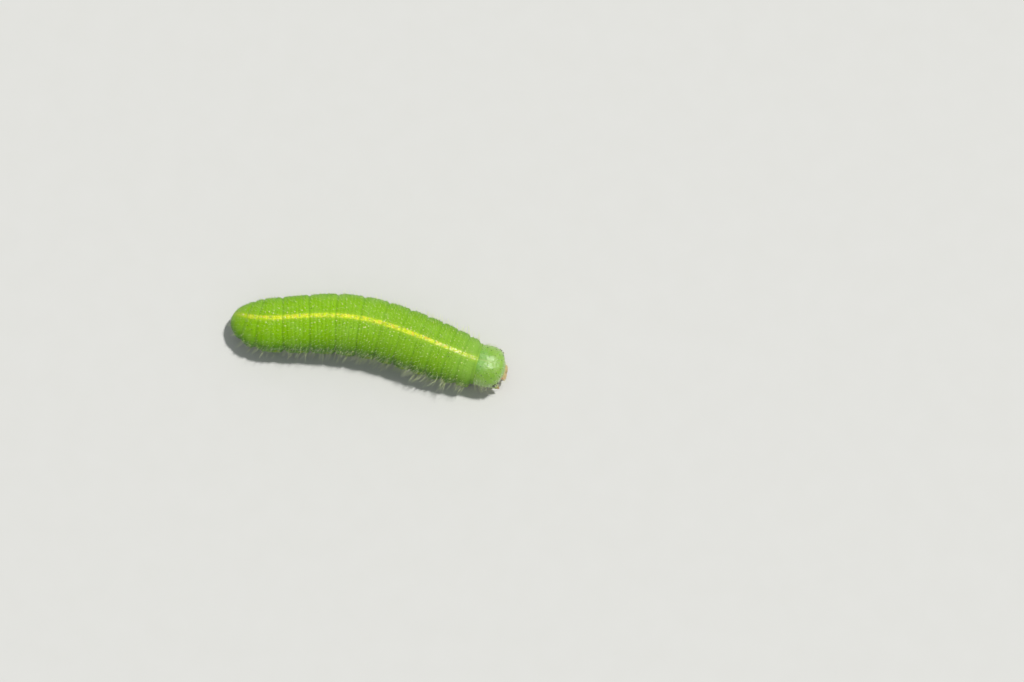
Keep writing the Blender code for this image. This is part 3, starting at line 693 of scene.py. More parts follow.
def ball_grid(centre, radius, up, flat, rows=16, around=24):
    """Rings of a flattened ball round a centre, its pole along a direction."""
    up = up / np.linalg.norm(up)
    side = np.cross(up, [0.3, 0.5, 0.8])
    side /= np.linalg.norm(side)
    polar = np.linspace(0.06, np.pi - 0.06, rows)[:, None, None]
    turns = np.linspace(0.0, 2.0 * np.pi, around, endpoint=False)[None, :, None]
    ring = side * np.cos(turns) + np.cross(up, side) * np.sin(turns)
    return centre + radius * (np.sin(polar) * ring + flat * np.cos(polar) * up)


def join_meshes(name, meshes):
    """One mesh that holds several closed meshes."""
    shape = bmesh.new()
    for mesh in meshes:
        shape.from_mesh(mesh)
    joined = bpy.data.meshes.new(name)
    shape.to_mesh(joined)
    shape.free()
    return joined


def make_cloudy_material(name, cloud, edges, first, second, grain, depth, **constants):
    """Two colours in soft clouds, under a fine grain; cloud and grain hold a noise's values in order."""
    material, tree, shader, point = new_material(name, **constants)
    tint = blend(tree, ramp(tree, noise(tree, point, *cloud), *edges), first, second)
    tree.links.new(tint, shader.inputs["Base Color"])
    bump(tree, shader, noise(tree, point, *grain), *depth)
    return material


def make_eyes(side, name, material):
    turns = EYE_ARC * ((np.arange(6) + 0.5) / 6.0 - 0.5)
    shares = EYE_STATION - EYE_ARC_RADIUS / HEAD_LENGTH * np.cos(turns)
    angles = side * (EYE_ANGLE + 2.0 * EYE_ARC_RADIUS / HEAD_WIDTH * np.sin(turns))
    balls = []
    for share, angle, radius in zip(shares, angles, EYE_RADII):
        out = head_outward(np.array(share), np.array(angle))
        at = head_point(share, angle, carved=False) + 0.010 * MM * out
        balls.append(grid_mesh("ball", ball_grid(at, radius * MM, out, 0.85)))
    return add_piece(name, join_meshes(name, balls), material)


eye_material = make_cloudy_material(
    "eye", (16.0, 2.0), (0.35, 0.7), (0.006, 0.006, 0.005), (0.045, 0.032, 0.014), (40.0,), (0.0008, 0.4),
    Roughness=0.10, Specular_IOR_Level=0.7, Coat_Weight=1.0, Coat_Roughness=0.04,
)
for side, word in SIDES:
    eyes = make_eyes(side, f"eye_domes_{word}", eye_material)
    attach(eyes, "root")
    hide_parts(f"eyes_{word}")

# Mouth: a notched upper lip of soft pinkish horn, two brown jaws with blunt dark teeth, and under them
# the lower lip between its feeler lobes, with the silk tube at its tip.
LABRUM_SIZE, LABRUM_DROP, LABRUM_OUT = (0.92, 0.34, 0.50), 0.24, -0.10
MANDIBLE_SIZE, MANDIBLE_DROP, MANDIBLE_ASIDE, MANDIBLE_OUT = (0.44, 0.40, 0.58), 0.70, 0.26, -0.26
LABIUM_SIZE, LABIUM_DROP, LABIUM_OUT, PALP_ASIDE = (0.34, 0.36, 0.40), 1.12, -0.42, 0.25
LIP_STATIONS = [
    (a, 1.02 - 0.10 * math.exp(-(((a - 0.22) / 0.05) ** 2)), 0.22 * max(0.0, a) ** 1.7)
    for a in np.linspace(-0.75, 0.8, 44)
] + [(0.86, 0.96, 0.167), (0.91, 0.91, 0.180), (0.95, 0.83, 0.192), (0.98, 0.72, 0.202), (1.0, 0.52, 0.210)]
JAW_STATIONS = [(a, 1.05 - 0.03 * (a + 1.0), 0.0) for a in np.linspace(-1.0, 0.3, 14)] + [
    (0.45, 0.96, 0.0), (0.6, 0.89, 0.0), (0.75, 0.80, 0.0), (0.87, 0.68, 0.0), (0.95, 0.54, 0.0),
    (1.0, 0.38, 0.0),
]
LOBE_STATIONS = [(a, 1.0, -0.06 * max(0.0, -a)) for a in np.linspace(-1.0, 0.2, 10)] + [
    (0.4, 0.90, 0.0), (0.6, 0.74, 0.0), (0.8, 0.50, 0.0), (0.95, 0.28, 0.0),
]
TUBE_STATIONS = [(0.0, 0.060), (0.3, 0.058), (0.6, 0.045), (0.85, 0.034), (1.0, 0.024)]
PALP_STATIONS = [
    (0.0, 0.085), (0.35, 0.080), (0.40, 0.060), (0.65, 0.056), (0.70, 0.040), (0.95, 0.034), (1.0, 0.020),
]


def block_grid(size, across, down, out, stations, power=0.6, notch=0.0, teeth=0.0, taper=0.0, around=56):
    """Rings of a rounded block that stands out of the face; each station is (along, width, shift down)."""
    turns = np.linspace(0.0, 2.0 * np.pi, around, endpoint=False)
    wide = np.sign(np.cos(turns)) * np.abs(np.cos(turns)) ** power
    tall = np.sign(np.sin(turns)) * np.abs(np.sin(turns)) ** power
    rings = []
    for along, narrow, sag in stations:
        thin = 1.0 - taper * smooth(np.array(along), -0.1, 1.0)
        dent = notch * np.exp(-((wide / 0.20) ** 2)) * max(0.0, along) ** 2
        bite = teeth * max(0.0, along - 0.5) * np.cos(turns * 5.0) * 0.5 - 0.5 * dent
        x = across + 0.5 * size[0] * narrow * wide
        arch = 0.12 * taper * wide**2
        y = down + sag + arch + 0.5 * size[1] * narrow * tall * thin * (1.0 - dent * (tall > 0.0))
        rings.append(face_point(x, y, out + size[2] * along + bite))
    return np.array(rings)


def lathe_grid(root, tip, stations, around=28):
    """Rings round the line from root to tip; each station is (share of the line, radius in mm)."""
    axis = (tip - root) / np.linalg.norm(tip - root)
    side = np.cross(axis, [0.2, 0.1, 1.0])
    side /= np.linalg.norm(side)
    turns = np.linspace(0.0, 2.0 * np.pi, around, endpoint=False)
    ring = np.outer(np.cos(turns), side) + np.outer(np.sin(turns), np.cross(axis, side))
    return np.array([root + (tip - root) * share + ring * radius * MM for share, radius in stations])


def mark_along(mesh, stations, around):
    """Gives each vertex of a row of rings its ring's place along the piece."""
    along = np.repeat([station[0] for station in stations], around)
    place = np.stack([along, along, along], axis=1)
    set_values(mesh, "place", np.vstack([place, place[0], place[-1]]))


def make_jaw_material():
    horn = {"Roughness": 0.28, "Specular_IOR_Level": 0.6, "Coat_Weight": 0.3}
    material, tree, shader, point = new_material("jaw", **horn)
    stain = maths(tree, "MULTIPLY", noise(tree, point, 7.0, 2.0), 0.5)
    stain = maths(tree, "ADD", stored_place(tree)["X"], stain)
    tint = blend(tree, ramp(tree, stain, 0.1, 0.8), (0.520, 0.240, 0.080), (0.110, 0.035, 0.012))
    tree.links.new(tint, shader.inputs["Base Color"])
    bump(tree, shader, noise(tree, point, 20.0, 3.0), 0.010, 0.6)
    return material


def make_lower_lip(material):
    """The lip's middle with its silk tube, and a lobe with a short palp on each side."""
    middle = block_grid(LABIUM_SIZE, 0.0, LABIUM_DROP, LABIUM_OUT, LOBE_STATIONS, power=0.8, around=36)
    tube = lathe_grid(face_point(0.0, 1.12, -0.16), face_point(0.0, 1.02, 0.12), TUBE_STATIONS, 16)
    grids = [middle, tube]
    for side in (1, -1):
        aside, drop, out = side * PALP_ASIDE, LABIUM_DROP - 0.05, LABIUM_OUT + 0.04
        grids.append(block_grid((0.24, 0.30, 0.38), aside, drop, out, LOBE_STATIONS, power=0.8, around=32))
        tip = face_point(side * 0.28, 0.98, 0.14)
        grids.append(lathe_grid(face_point(aside, 1.06, -0.12), tip, PALP_STATIONS, 16))
    mesh = join_meshes("lower_lip", [grid_mesh("part", grid) for grid in grids])
    return add_piece("lower_lip", mesh, material)


lip_material = make_cloudy_material(
    "lip", (5.0, 3.0, 0.6), (0.35, 0.65), (0.560, 0.330, 0.170), (0.470, 0.420, 0.150),
    (24.0, 3.0), (0.008, 0.6),
    Roughness=0.32, Subsurface_Weight=0.3, Subsurface_Radius=(1.0, 0.6, 0.3), Subsurface_Scale=0.15 * MM,
    Coat_Weight=0.2,
)
jaw_material = make_jaw_material()
lip_rings = block_grid(LABRUM_SIZE, 0.0, LABRUM_DROP, LABRUM_OUT, LIP_STATIONS, 0.72, notch=0.30, taper=0.42)
labrum = add_piece("upper_lip", grid_mesh("upper_lip", lip_rings), lip_material)
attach(labrum, "root")
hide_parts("labrum")
for side, word in SIDES:
    aside = side * MANDIBLE_ASIDE
    grid = block_grid(MANDIBLE_SIZE, aside, MANDIBLE_DROP, MANDIBLE_OUT, JAW_STATIONS, teeth=0.16)
    mesh = grid_mesh(f"jaw_{word}", grid)
    mark_along(mesh, JAW_STATIONS, grid.shape[1])
    jaw = add_piece(f"jaw_{word}", mesh, jaw_material)
    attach(jaw, "root")
    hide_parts(f"mandible_{word}")
lower_lip = make_lower_lip(lip_material)
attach(lower_lip, "root")
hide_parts("labium")

# Feelers: three short joints of soft horn that slide into one another like a telescope, out of a soft
# round socket in the cheek. They are pale green, with a browner tip.
ANTENNA_ROOT_AT, ANTENNA_TIP_AT = (0.76, 0.58, -0.42), (0.92, 0.70, 0.16)
FEELER_STATIONS = [
    (0.00, 0.21), (0.38, 0.21), (0.46, 0.197), (0.48, 0.17), (0.50, 0.145), (0.52, 0.148), (0.70, 0.140),
    (0.73, 0.125), (0.74, 0.095), (0.75, 0.090), (0.88, 0.086), (0.90, 0.072), (0.905, 0.045), (0.91, 0.043),
    (0.99, 0.036), (1.0, 0.020),
]


def make_feeler_material():
    material, tree, shader, point = new_material(
        "feeler", Roughness=0.35, Subsurface_Weight=0.3, Subsurface_Radius=(0.8, 1.0, 0.4),
        Subsurface_Scale=0.15 * MM,
    )
    wander = maths(tree, "MULTIPLY", noise(tree, point, 8.0, 2.0), 0.2)
    wander = maths(tree, "ADD", stored_place(tree)["X"], wander)
    tint = blend(tree, ramp(tree, wander, 0.55, 1.05), (0.360, 0.520, 0.160), (0.420, 0.230, 0.080))
    tree.links.new(tint, shader.inputs["Base Color"])
    bump(tree, shader, noise(tree, point, 30.0, 3.0), 0.006, 0.6)
    return material


feeler_material = make_feeler_material()
for side, word in SIDES:
    root = face_point(side * ANTENNA_ROOT_AT[0], *ANTENNA_ROOT_AT[1:])
    tip = face_point(side * ANTENNA_TIP_AT[0], *ANTENNA_TIP_AT[1:])
    grid = lathe_grid(root, tip, FEELER_STATIONS)
    mesh = grid_mesh(f"feeler_{word}", grid)
    mark_along(mesh, FEELER_STATIONS, grid.shape[1])
    feeler = add_piece(f"feeler_{word}", mesh, feeler_material)
    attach(feeler, "root")
    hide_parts(f"antenna_{word}")

# True legs: three pairs, each with a wide soft hip, three horny joints with soft creases between, and a
# small curved brown claw whose tip stands on the floor.
LEG_SEGMENTS = (("thorax_1", 1), ("thorax_2", 2), ("thorax_3", 3))
LEG_ROOT_ANGLE, LEG_RADIUS, LEG_AROUND = math.radians(143.0), 0.30, 32
LEG_STATIONS = [
    (0.00, 1.04), (0.08, 1.04), (0.16, 1.03), (0.24, 1.01), (0.31, 0.99), (0.37, 0.97), (0.42, 0.94),
    (0.44, 0.90), (0.45, 0.87), (0.47, 0.86), (0.53, 0.86), (0.60, 0.82), (0.63, 0.78), (0.645, 0.73),
    (0.655, 0.69), (0.67, 0.68), (0.72, 0.66), (0.78, 0.61), (0.80, 0.57), (0.81, 0.52), (0.82, 0.48),
    (0.84, 0.47), (0.89, 0.43), (0.92, 0.36), (0.94, 0.26), (0.955, 0.20), (0.975, 0.16), (1.0, 0.10),
]


def leg_line(root, middle, side):
    """A smooth line of 201 points from the root, over the knee and ankle, to the claw on the floor."""
    knee = place_beside(np.array(middle + 0.10), np.array(side * 0.98), 0.46)
    ankle = place_beside(np.array(middle + 0.20), np.array(side * 0.98), 0.17)
    foot = place_beside(np.array(middle + 0.24), np.array(side * 0.92), 0.0)
    knots = np.array([root, knee, ankle, foot])
    fine = np.linspace(0.0, 1.0, 201)
    line = np.stack([np.interp(fine, [0.0, 0.62, 0.86, 1.0], knots[:, i]) for i in range(3)], axis=1)
    kernel = np.hanning(31) / np.hanning(31).sum()
    padded = np.vstack([np.repeat(line[:1], 15, axis=0), line, np.repeat(line[-1:], 15, axis=0)])
    line = np.stack([np.convolve(padded[:, i], kernel, "valid") for i in range(3)], axis=1)
    line[:, 2] += (foot[2] - line[-1, 2]) * fine**3
    return line


def leg_grid(side, middle):
    """Rings along the leg, square to the skin at the root and level at the claw's tip."""
    root = trunk_point(np.array(middle), np.array(side * LEG_ROOT_ANGLE), -0.30, folded=False)
    skin_out = trunk_point(np.array(middle), np.array(side * LEG_ROOT_ANGLE), 0.0, folded=False) - root
    skin_out /= np.linalg.norm(skin_out)
    line = leg_line(root, middle, side)
    turns = np.linspace(0.0, 2.0 * np.pi, LEG_AROUND, endpoint=False)
    rings = []
    for share, size in LEG_STATIONS:
        k = int(round(share * 200))
        axis = line[min(k + 8, 200)] - line[max(k - 8, 0)]
        axis /= np.linalg.norm(axis)
        rooted = 1.0 - float(smooth(np.array(share), 0.10, 0.46))
        axis = axis * (1.0 - rooted) + skin_out * rooted
        flat = float(smooth(np.array(share), 0.93, 1.0))
        axis = axis * (1.0 - flat) + np.array([0.0, 0.0, -1.0]) * flat
        axis /= np.linalg.norm(axis)
        wide = np.cross(axis, [1.0, 0.0, 0.0])
        wide /= np.linalg.norm(wide)
        ring = np.outer(np.cos(turns), wide) + np.outer(np.sin(turns), np.cross(axis, wide))
        rings.append(line[k] + LEG_RADIUS * size * MM * ring)
    grid = np.array(rings)
    grid[:, :, 2] = np.maximum(grid[:, :, 2], 0.0)
    return grid


def make_leg_material():
    material, tree, shader, point = new_material(
        "leg", Roughness=0.32, Subsurface_Weight=0.25, Subsurface_Radius=(0.7, 1.0, 0.35),
        Subsurface_Scale=0.2 * MM, Coat_Weight=0.15,
    )
    along = stored_place(tree)["X"]
    cloud = noise(tree, point, 6.0, 3.0, 0.6)
    green = blend(tree, ramp(tree, cloud, 0.35, 0.65), (0.320, 0.520, 0.080), (0.450, 0.610, 0.190))
    green = blend(tree, ramp(tree, along, 0.40, 0.18, 0.0, 0.85), green, (0.130, 0.310, 0.008))
    claw = maths(tree, "ADD", along, maths(tree, "MULTIPLY", cloud, 0.04))
    tint = blend(tree, ramp(tree, claw, 0.915, 0.965), green, (0.140, 0.060, 0.020))
    tree.links.new(tint, shader.inputs["Base Color"])
    bump(tree, shader, noise(tree, point, 22.0, 3.0), 0.010, 0.6)
    return material


leg_material = make_leg_material()
for side, word in SIDES:
    for name, number in LEG_SEGMENTS:
        mesh = grid_mesh(f"true_leg_{word}_{number}", leg_grid(side, SEGMENT_MIDDLES[name]))
        mark_along(mesh, LEG_STATIONS, LEG_AROUND)
        leg = add_piece(f"true_leg_{word}_{number}", mesh, leg_material)
        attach(leg, "root")
        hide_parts(f"leg_{word}_{number}")

# Hair: fine pale bristles, each on a tiny shiny knob, in a row round every small ring of the body, with
# shorter down between them. The longest stand out under the flanks, most of all behind the head.
BRISTLE_GAP, BRISTLE_ENDS_AT, DARK_KNOB_SHARE = 0.27, math.radians(140.0), 0.16
FRINGE_COUNT, FRINGE_FROM, FRINGE_ANGLES = 60, 10.8, (1.36, 1.90)
DOWN_TRIES, DOWN_ENDS_AT = 15000, 2.6
PATCH_SIZE = 0.003
rng = np.random.default_rng(11)


def stored(tree, name, kind="FLOAT_VECTOR"):
    return node(tree, "GeometryNodeInputNamedAttribute", {"Name": name}, data_type=kind).outputs["Attribute"]


def store(tree, shape, name, value, kind="FLOAT_VECTOR", domain="POINT"):
    inputs = {"Geometry": shape, "Name": name, "Value": value}
    return node(tree, "GeometryNodeStoreNamedAttribute", inputs, data_type=kind, domain=domain).outputs[0]


def setter(name, template, sizes):
    """Geometry nodes that set one copy of a template on each root point, turned along its lie and scaled.

    The roots carry lie, toward, reach and root_uv. Each copy keeps its root's marks and takes a patch
    0.003 across of the map, at its root's place.
    """
    tree = bpy.data.node_groups.new(name, "GeometryNodeTree")
    tree.interface.new_socket("Geometry", in_out="INPUT", socket_type="NodeSocketGeometry")
    for label, value in sizes.items():
        kind = "NodeSocketInt" if isinstance(value, int) else "NodeSocketFloat"
        tree.interface.new_socket(label, in_out="INPUT", socket_type=kind).default_value = value
    tree.interface.new_socket("Material", in_out="INPUT", socket_type="NodeSocketMaterial")
    tree.interface.new_socket("Geometry", in_out="OUTPUT", socket_type="NodeSocketGeometry")
    given = tree.nodes.new("NodeGroupInput").outputs
    shape, patch = template(tree, given)
    lie = {"Vector": stored(tree, "lie")}
    turned = node(tree, "FunctionNodeAlignRotationToVector", lie, axis="Z").outputs[0]
    toward = {"Rotation": turned, "Vector": stored(tree, "toward")}
    turned = node(tree, "FunctionNodeAlignRotationToVector", toward, axis="X", pivot_axis="Z").outputs[0]
    copies = node(tree, "GeometryNodeInstanceOnPoints", {
        "Points": given["Geometry"], "Instance": store(tree, shape, "patch", patch), "Rotation": turned,
        "Scale": stored(tree, "reach", "FLOAT"),
    })
    real = node(tree, "GeometryNodeRealizeInstances", {"Geometry": copies.outputs[0]}).outputs[0]
    inner = scaled(tree, moved(tree, stored(tree, "patch"), (-0.5, -0.5, 0.0)), PATCH_SIZE)
    mapped = store(tree, real, "OFBake", moved(tree, stored(tree, "root_uv"), inner), "FLOAT2", "CORNER")
    done = node(tree, "GeometryNodeSetMaterial", {"Geometry": mapped, "Material": given["Material"]})
    tree.links.new(done.outputs[0], tree.nodes.new("NodeGroupOutput").inputs[0])
    return tree


def tube(tree, curve, sides, radius):
    """A closed mesh along a curve, with its own radius at each point."""
    ring = node(tree, "GeometryNodeCurvePrimitiveCircle", {"Resolution": sides, "Radius": 1.0})
    return node(tree, "GeometryNodeCurveToMesh", {
        "Curve": curve, "Profile Curve": ring.outputs[0], "Scale": radius, "Fill Caps": True,
    }).outputs[0]


def strand(tree, given):
    """One upright hair of unit length, three-sided and tapered, that bends towards its X."""
    line = node(tree, "GeometryNodeCurvePrimitiveLine", {"Start": (0.0, 0.0, 0.0), "End": (0.0, 0.0, 1.0)})
    cut = node(tree, "GeometryNodeResampleCurve", {"Curve": line.outputs[0], "Count": given["Joints"]})
    factor = node(tree, "GeometryNodeSplineParameter").outputs["Factor"]
    loss = maths(tree, "MULTIPLY", factor, maths(tree, "SUBTRACT", 1.0, given["Tip share"]))
    radius = maths(tree, "MULTIPLY", maths(tree, "SUBTRACT", 1.0, loss), given["Root radius"])
    solid = tube(tree, cut.outputs[0], given["Sides"], radius)
    parts = axes(tree, node(tree, "GeometryNodeInputPosition").outputs[0])
    across = maths(tree, "DIVIDE", parts["X"], maths(tree, "MULTIPLY", given["Root radius"], 2.0))
    across = maths(tree, "ADD", across, 0.5)
    patch = node(tree, "ShaderNodeCombineXYZ", {"X": parts["Z"], "Y": across}).outputs[0]
    kept = store(tree, solid, "patch", patch)
    sweep = maths(tree, "MULTIPLY", maths(tree, "MULTIPLY", parts["Z"], parts["Z"]), given["Bend"])
    shift = node(tree, "ShaderNodeCombineXYZ", {"X": sweep}).outputs[0]
    bent = node(tree, "GeometryNodeSetPosition", {"Geometry": kept, "Offset": shift}).outputs[0]
    return bent, stored(tree, "patch")


def knob(tree, given):
    """One low dome of unit radius, sunk a little into the skin."""
    ball = node(tree, "GeometryNodeMeshIcoSphere", {"Radius": 1.0, "Subdivisions": given["Subdivisions"]})
    place = node(tree, "GeometryNodeInputPosition").outputs[0]
    parts = axes(tree, place)
    height = maths(tree, "MULTIPLY", parts["Z"], given["Height"])
    flat = node(tree, "ShaderNodeCombineXYZ", {"X": parts["X"], "Y": parts["Y"], "Z": height}).outputs[0]
    shaped = node(tree, "GeometryNodeSetPosition", {"Geometry": ball.outputs[0], "Position": flat})
    return shaped.outputs[0], moved(tree, scaled(tree, place, 0.5), (0.5, 0.5, 0.0))


def hook(tree, given):
    """One curved claw of unit size in its own X-Z plane."""
    sweep = {"Resolution": 8, "Radius": 0.5, "Start Angle": 0.0, "Sweep Angle": given["Sweep"]}
    arc = node(tree, "GeometryNodeCurveArc", sweep)
    factor = node(tree, "GeometryNodeSplineParameter").outputs["Factor"]
    radius = maths(tree, "MULTIPLY", maths(tree, "SUBTRACT", 1.05, factor), given["Root radius"])
    stand = {"Geometry": tube(tree, arc.outputs[0], 5, radius), "Translation": (-0.5, 0.0, 0.0)}
    up = node(tree, "GeometryNodeTransform", {**stand, "Rotation": (math.pi / 2, 0.0, 0.0)})
    place = node(tree, "GeometryNodeInputPosition").outputs[0]
    return up.outputs[0], moved(tree, place, (0.5, 0.5, 0.0))


def grow(name, tree, roots, material, **sizes):
    """Sets the templates on the roots, and keeps the result as a plain mesh."""
    mesh = bpy.data.meshes.new(name)
    mesh.from_pydata(roots["at"].tolist(), [], [])
    for key in ("lie", "toward", "root_uv", "place", "reach"):
        set_values(mesh, key, roots[key])
    for key in ("fold", "spot"):
        set_values(mesh, key, np.zeros(len(roots["at"])))
    piece = bpy.data.objects.new(name, mesh)
    bpy.context.scene.collection.objects.link(piece)
    grower = piece.modifiers.new("grow", "NODES")
    grower.node_group = tree
    wanted = {**{key.replace("_", " "): value for key, value in sizes.items()}, "Material": material}
    for item in tree.interface.items_tree:
        if item.item_type == "SOCKET" and item.in_out == "INPUT" and item.name in wanted:
            grower[item.identifier] = wanted[item.name]
    made = evaluated(piece)
    for key in ("lie", "toward", "reach", "root_uv"):
        if key in made.attributes:
            made.attributes.remove(made.attributes[key])
    made.shade_smooth()
    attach(piece, "root")
    return piece


def unit(vectors):
    return vectors / np.maximum(np.linalg.norm(vectors, axis=-1, keepdims=True), 1e-12)


def gather_roots(at, lie, toward, share, angle, marks, reach):
    """Roots of hairs; share and angle are their place on the map, along it and across it."""
    uv = np.stack([0.02 + 0.96 * share, 0.5 + 0.48 * angle / np.pi, 0.0 * share], axis=1)
    return {"at": at, "lie": lie, "toward": toward, "root_uv": uv, "place": marks, "reach": reach * MM}


def trunk_roots(distance, angle, reach, back=0.35, wild=0.18, sink=0.01):
    """Roots of hairs on the trunk, leaning towards the tail, with their marks and their place on its map."""
    at = neck_point(distance, angle, -sink)
    behind = trunk_point(distance - 0.05, angle, folded=False)
    ahead = unit(trunk_point(distance + 0.05, angle, folded=False) - behind)
    beside = trunk_point(distance, angle - 0.02, folded=False)
    around = unit(trunk_point(distance, angle + 0.02, folded=False) - beside)
    out = unit(np.cross(around, ahead))
    middle = place_beside(distance, 0.0 * distance, trunk_size(distance)[3])
    out *= np.sign((out * (at - middle)).sum(axis=1, keepdims=True))
    lie = unit(out - back * ahead + wild * rng.normal(size=at.shape))
    toward = unit(-ahead + 0.5 * rng.normal(size=at.shape) - np.array([0.0, 0.0, 0.5]))
    turned = (angle + np.pi) % (2.0 * np.pi) - np.pi
    marks = np.stack([distance, np.abs(turned), np.abs(trunk_size(distance)[0] * np.sin(turned))], axis=1)
    return gather_roots(at, lie, toward, distance / TRUNK_LENGTH, turned, marks, reach)


def bristle_rows():
    """One row of bristles round each small ring, none on the belly."""
    borders = np.sort(np.concatenate([[0.12], RING_BORDERS, SEGMENT_ENDS]))
    distances, angles = [], []
    for low, high in zip(borders, borders[1:]):
        half = float(trunk_size(np.array(0.5 * (low + high)))[0])
        count = max(8, int(round(half * 2.0 * BRISTLE_ENDS_AT / BRISTLE_GAP)))
        angles.append(np.linspace(-BRISTLE_ENDS_AT, BRISTLE_ENDS_AT, count) + rng.normal(0.0, 0.055, count))
        distances.append(0.5 * (low + high) + rng.normal(0.0, 0.042, count))
    return np.concatenate(distances), np.concatenate(angles)


def make_hair_material(name, markings_and_shade, rise):
    """Green at the root, in the skin's own pattern and painted shade, and pale from a share of the hair's
    length upwards.
    """
    material, tree, shader, point = new_material(
        name, Roughness=0.35, Specular_IOR_Level=0.6, Subsurface_Weight=0.7,
        Subsurface_Radius=(1.0, 1.0, 0.8), Subsurface_Scale=0.04 * MM,
    )
    height = axes(tree, node(tree, "ShaderNodeAttribute", attribute_name="patch").outputs["Vector"])["X"]
    pale = blend(tree, noise(tree, point, 3.0), (0.600, 0.740, 0.250), (0.860, 0.900, 0.560))
    tint = blend(tree, ramp(tree, height, 0.0, rise), marked(tree, markings_and_shade, point), pale)
    tree.links.new(tint, shader.inputs["Base Color"])
    bump(tree, shader, noise(tree, point, 60.0), 0.001, 0.3)
    return material


strands = setter("set strands", strand, {
    "Joints": 5, "Sides": 3, "Root radius": 0.02, "Tip share": 0.2, "Bend": 0.2,
})
knobs = setter("set knobs", knob, {"Subdivisions": 2, "Height": 0.8})
hooks = setter("set hooks", hook, {"Root radius": 0.14, "Sweep": 3.4})
hair_material = make_hair_material("hair", markings_and_shade, 0.35)
face_hair_material = make_hair_material("face_hair", markings_and_shade, 0.02)
down_material = make_hair_material("down", markings_and_shade, 1.2)
knob_material = make_cloudy_material(
    "knob", (2.4, 1.0), (0.40, 0.60), (0.420, 0.640, 0.110), (0.780, 0.860, 0.360), (50.0,), (0.0015, 0.4),
    Roughness=0.16, Specular_IOR_Level=0.75, Subsurface_Weight=0.2, Subsurface_Scale=0.08 * MM,
    Coat_Weight=0.6, Coat_Roughness=0.08,
)
dot_material = make_cloudy_material(
    "dot", (10.0, 2.0), (0.4, 0.6), (0.010, 0.014, 0.006), (0.035, 0.045, 0.018), (50.0,), (0.0015, 0.4),
    Roughness=0.25, Specular_IOR_Level=0.6, Coat_Weight=0.4,
)

row_at, row_angle = bristle_rows()
kept = rng.random(len(row_at)) > 0.34 * smooth(np.abs(row_angle), 1.3, 1.8)
fringe_side = rng.choice([-1.0, 1.0], FRINGE_COUNT)
row_at = np.append(row_at[kept], rng.uniform(FRINGE_FROM, TRUNK_LENGTH - 0.08, FRINGE_COUNT))
row_angle = np.append(row_angle[kept], fringe_side * rng.uniform(*FRINGE_ANGLES, FRINGE_COUNT))
turned, count = np.abs(row_angle), len(row_at)
reach = 0.15 + 0.09 * rng.random(count) + 0.34 * smooth(turned, 1.1, 1.9) * (0.6 + 0.6 * rng.random(count))
reach += 0.26 * smooth(row_at, 9.8, 12.0) * smooth(turned, 1.25, 1.7) * rng.random(count)
reach *= 1.0 - 0.35 * smooth(row_at, 1.2, 0.2)
roots = trunk_roots(row_at, row_angle, reach, 0.30, 0.16)
thin = {"Joints": 6, "Root_radius": 0.027, "Tip_share": 0.2, "Bend": 0.22}
bristles = grow("bristles", strands, roots, hair_material, **thin)
black = rng.random(count) < DARK_KNOB_SHARE
busy = np.maximum(np.exp(-((turned / 0.42) ** 2)), 0.55 * smooth(turned, 1.1, 1.5))
size = (0.019 + 0.026 * rng.random(count) ** 2) * (0.64 + 0.64 * busy)
roots = trunk_roots(row_at, row_angle, size, 0.0, 0.0, 0.0)
pale_roots = {key: value[~black] for key, value in roots.items()}
dark_roots = {key: value[black] for key, value in roots.items()}
dark_roots["reach"] = dark_roots["reach"] * 0.72
pale_knobs = grow("pale_knobs", knobs, pale_roots, knob_material, Subdivisions=2, Height=0.75)
dark_knobs = grow("dark_knobs", knobs, dark_roots, dot_material, Subdivisions=2, Height=0.8)

down_at = rng.uniform(0.10, TRUNK_LENGTH, DOWN_TRIES)
down_angle = rng.uniform(-DOWN_ENDS_AT, DOWN_ENDS_AT, DOWN_TRIES)
turned = np.abs(down_angle)
low_flank = smooth(turned, 1.15, 1.5) * (1.0 - 0.6 * smooth(turned, 2.1, 2.5))
kept = rng.random(DOWN_TRIES) < 0.22 + 0.78 * np.maximum(np.exp(-((turned / 0.34) ** 2)), low_flank)
down_at, down_angle = down_at[kept], down_angle[kept]
roots = trunk_roots(down_at, down_angle, 0.08 + 0.07 * rng.random(len(down_at)), 0.65, 0.22)
down = grow("down", strands, roots, down_material, Joints=4, Root_radius=0.036, Tip_share=0.15, Bend=0.30)

# Breathing holes: one on each side of the first thorax segment and of eight abdomen segments. Each is a
# low pale horny ring, set upright in the skin, round a dark slit.
station = np.repeat(SPIRACLE_STATIONS, 2)
side = np.tile([1.0, -1.0], len(SPIRACLE_STATIONS))
rims = trunk_roots(station, side * SPIRACLE_ANGLE, np.full(len(station), 0.062), 0.0, 0.0, 0.0)
slits = {key: value.copy() for key, value in rims.items()}
slits["at"] += 0.012 * MM * rims["lie"]
slits["reach"] = np.full(len(station), 0.034 * MM)
spiracle_rims = grow("spiracle_rims", knobs, rims, knob_material, Subdivisions=3, Height=0.35)
spiracle_slits = grow("spiracle_slits", knobs, slits, dot_material, Subdivisions=2, Height=0.45)

# Hooks and hairs of the feet: each soft pad grips with an inner crescent of tiny brown hooks, and the
# stumps and the true legs carry a few short pale hairs, set in the skin.
HOOK_TURNS = np.radians(np.linspace(-75.0, 75.0, 13))
FOOT_HAIRS = ((7, (-0.9, 0.0, 0.8)), (9, (-0.5, 0.5)), (11, (-0.9, 0.1, 0.9)))
LEG_HAIR_ROWS, LEG_HAIRS_PER_ROW = (5, 10, 16, 22), 4


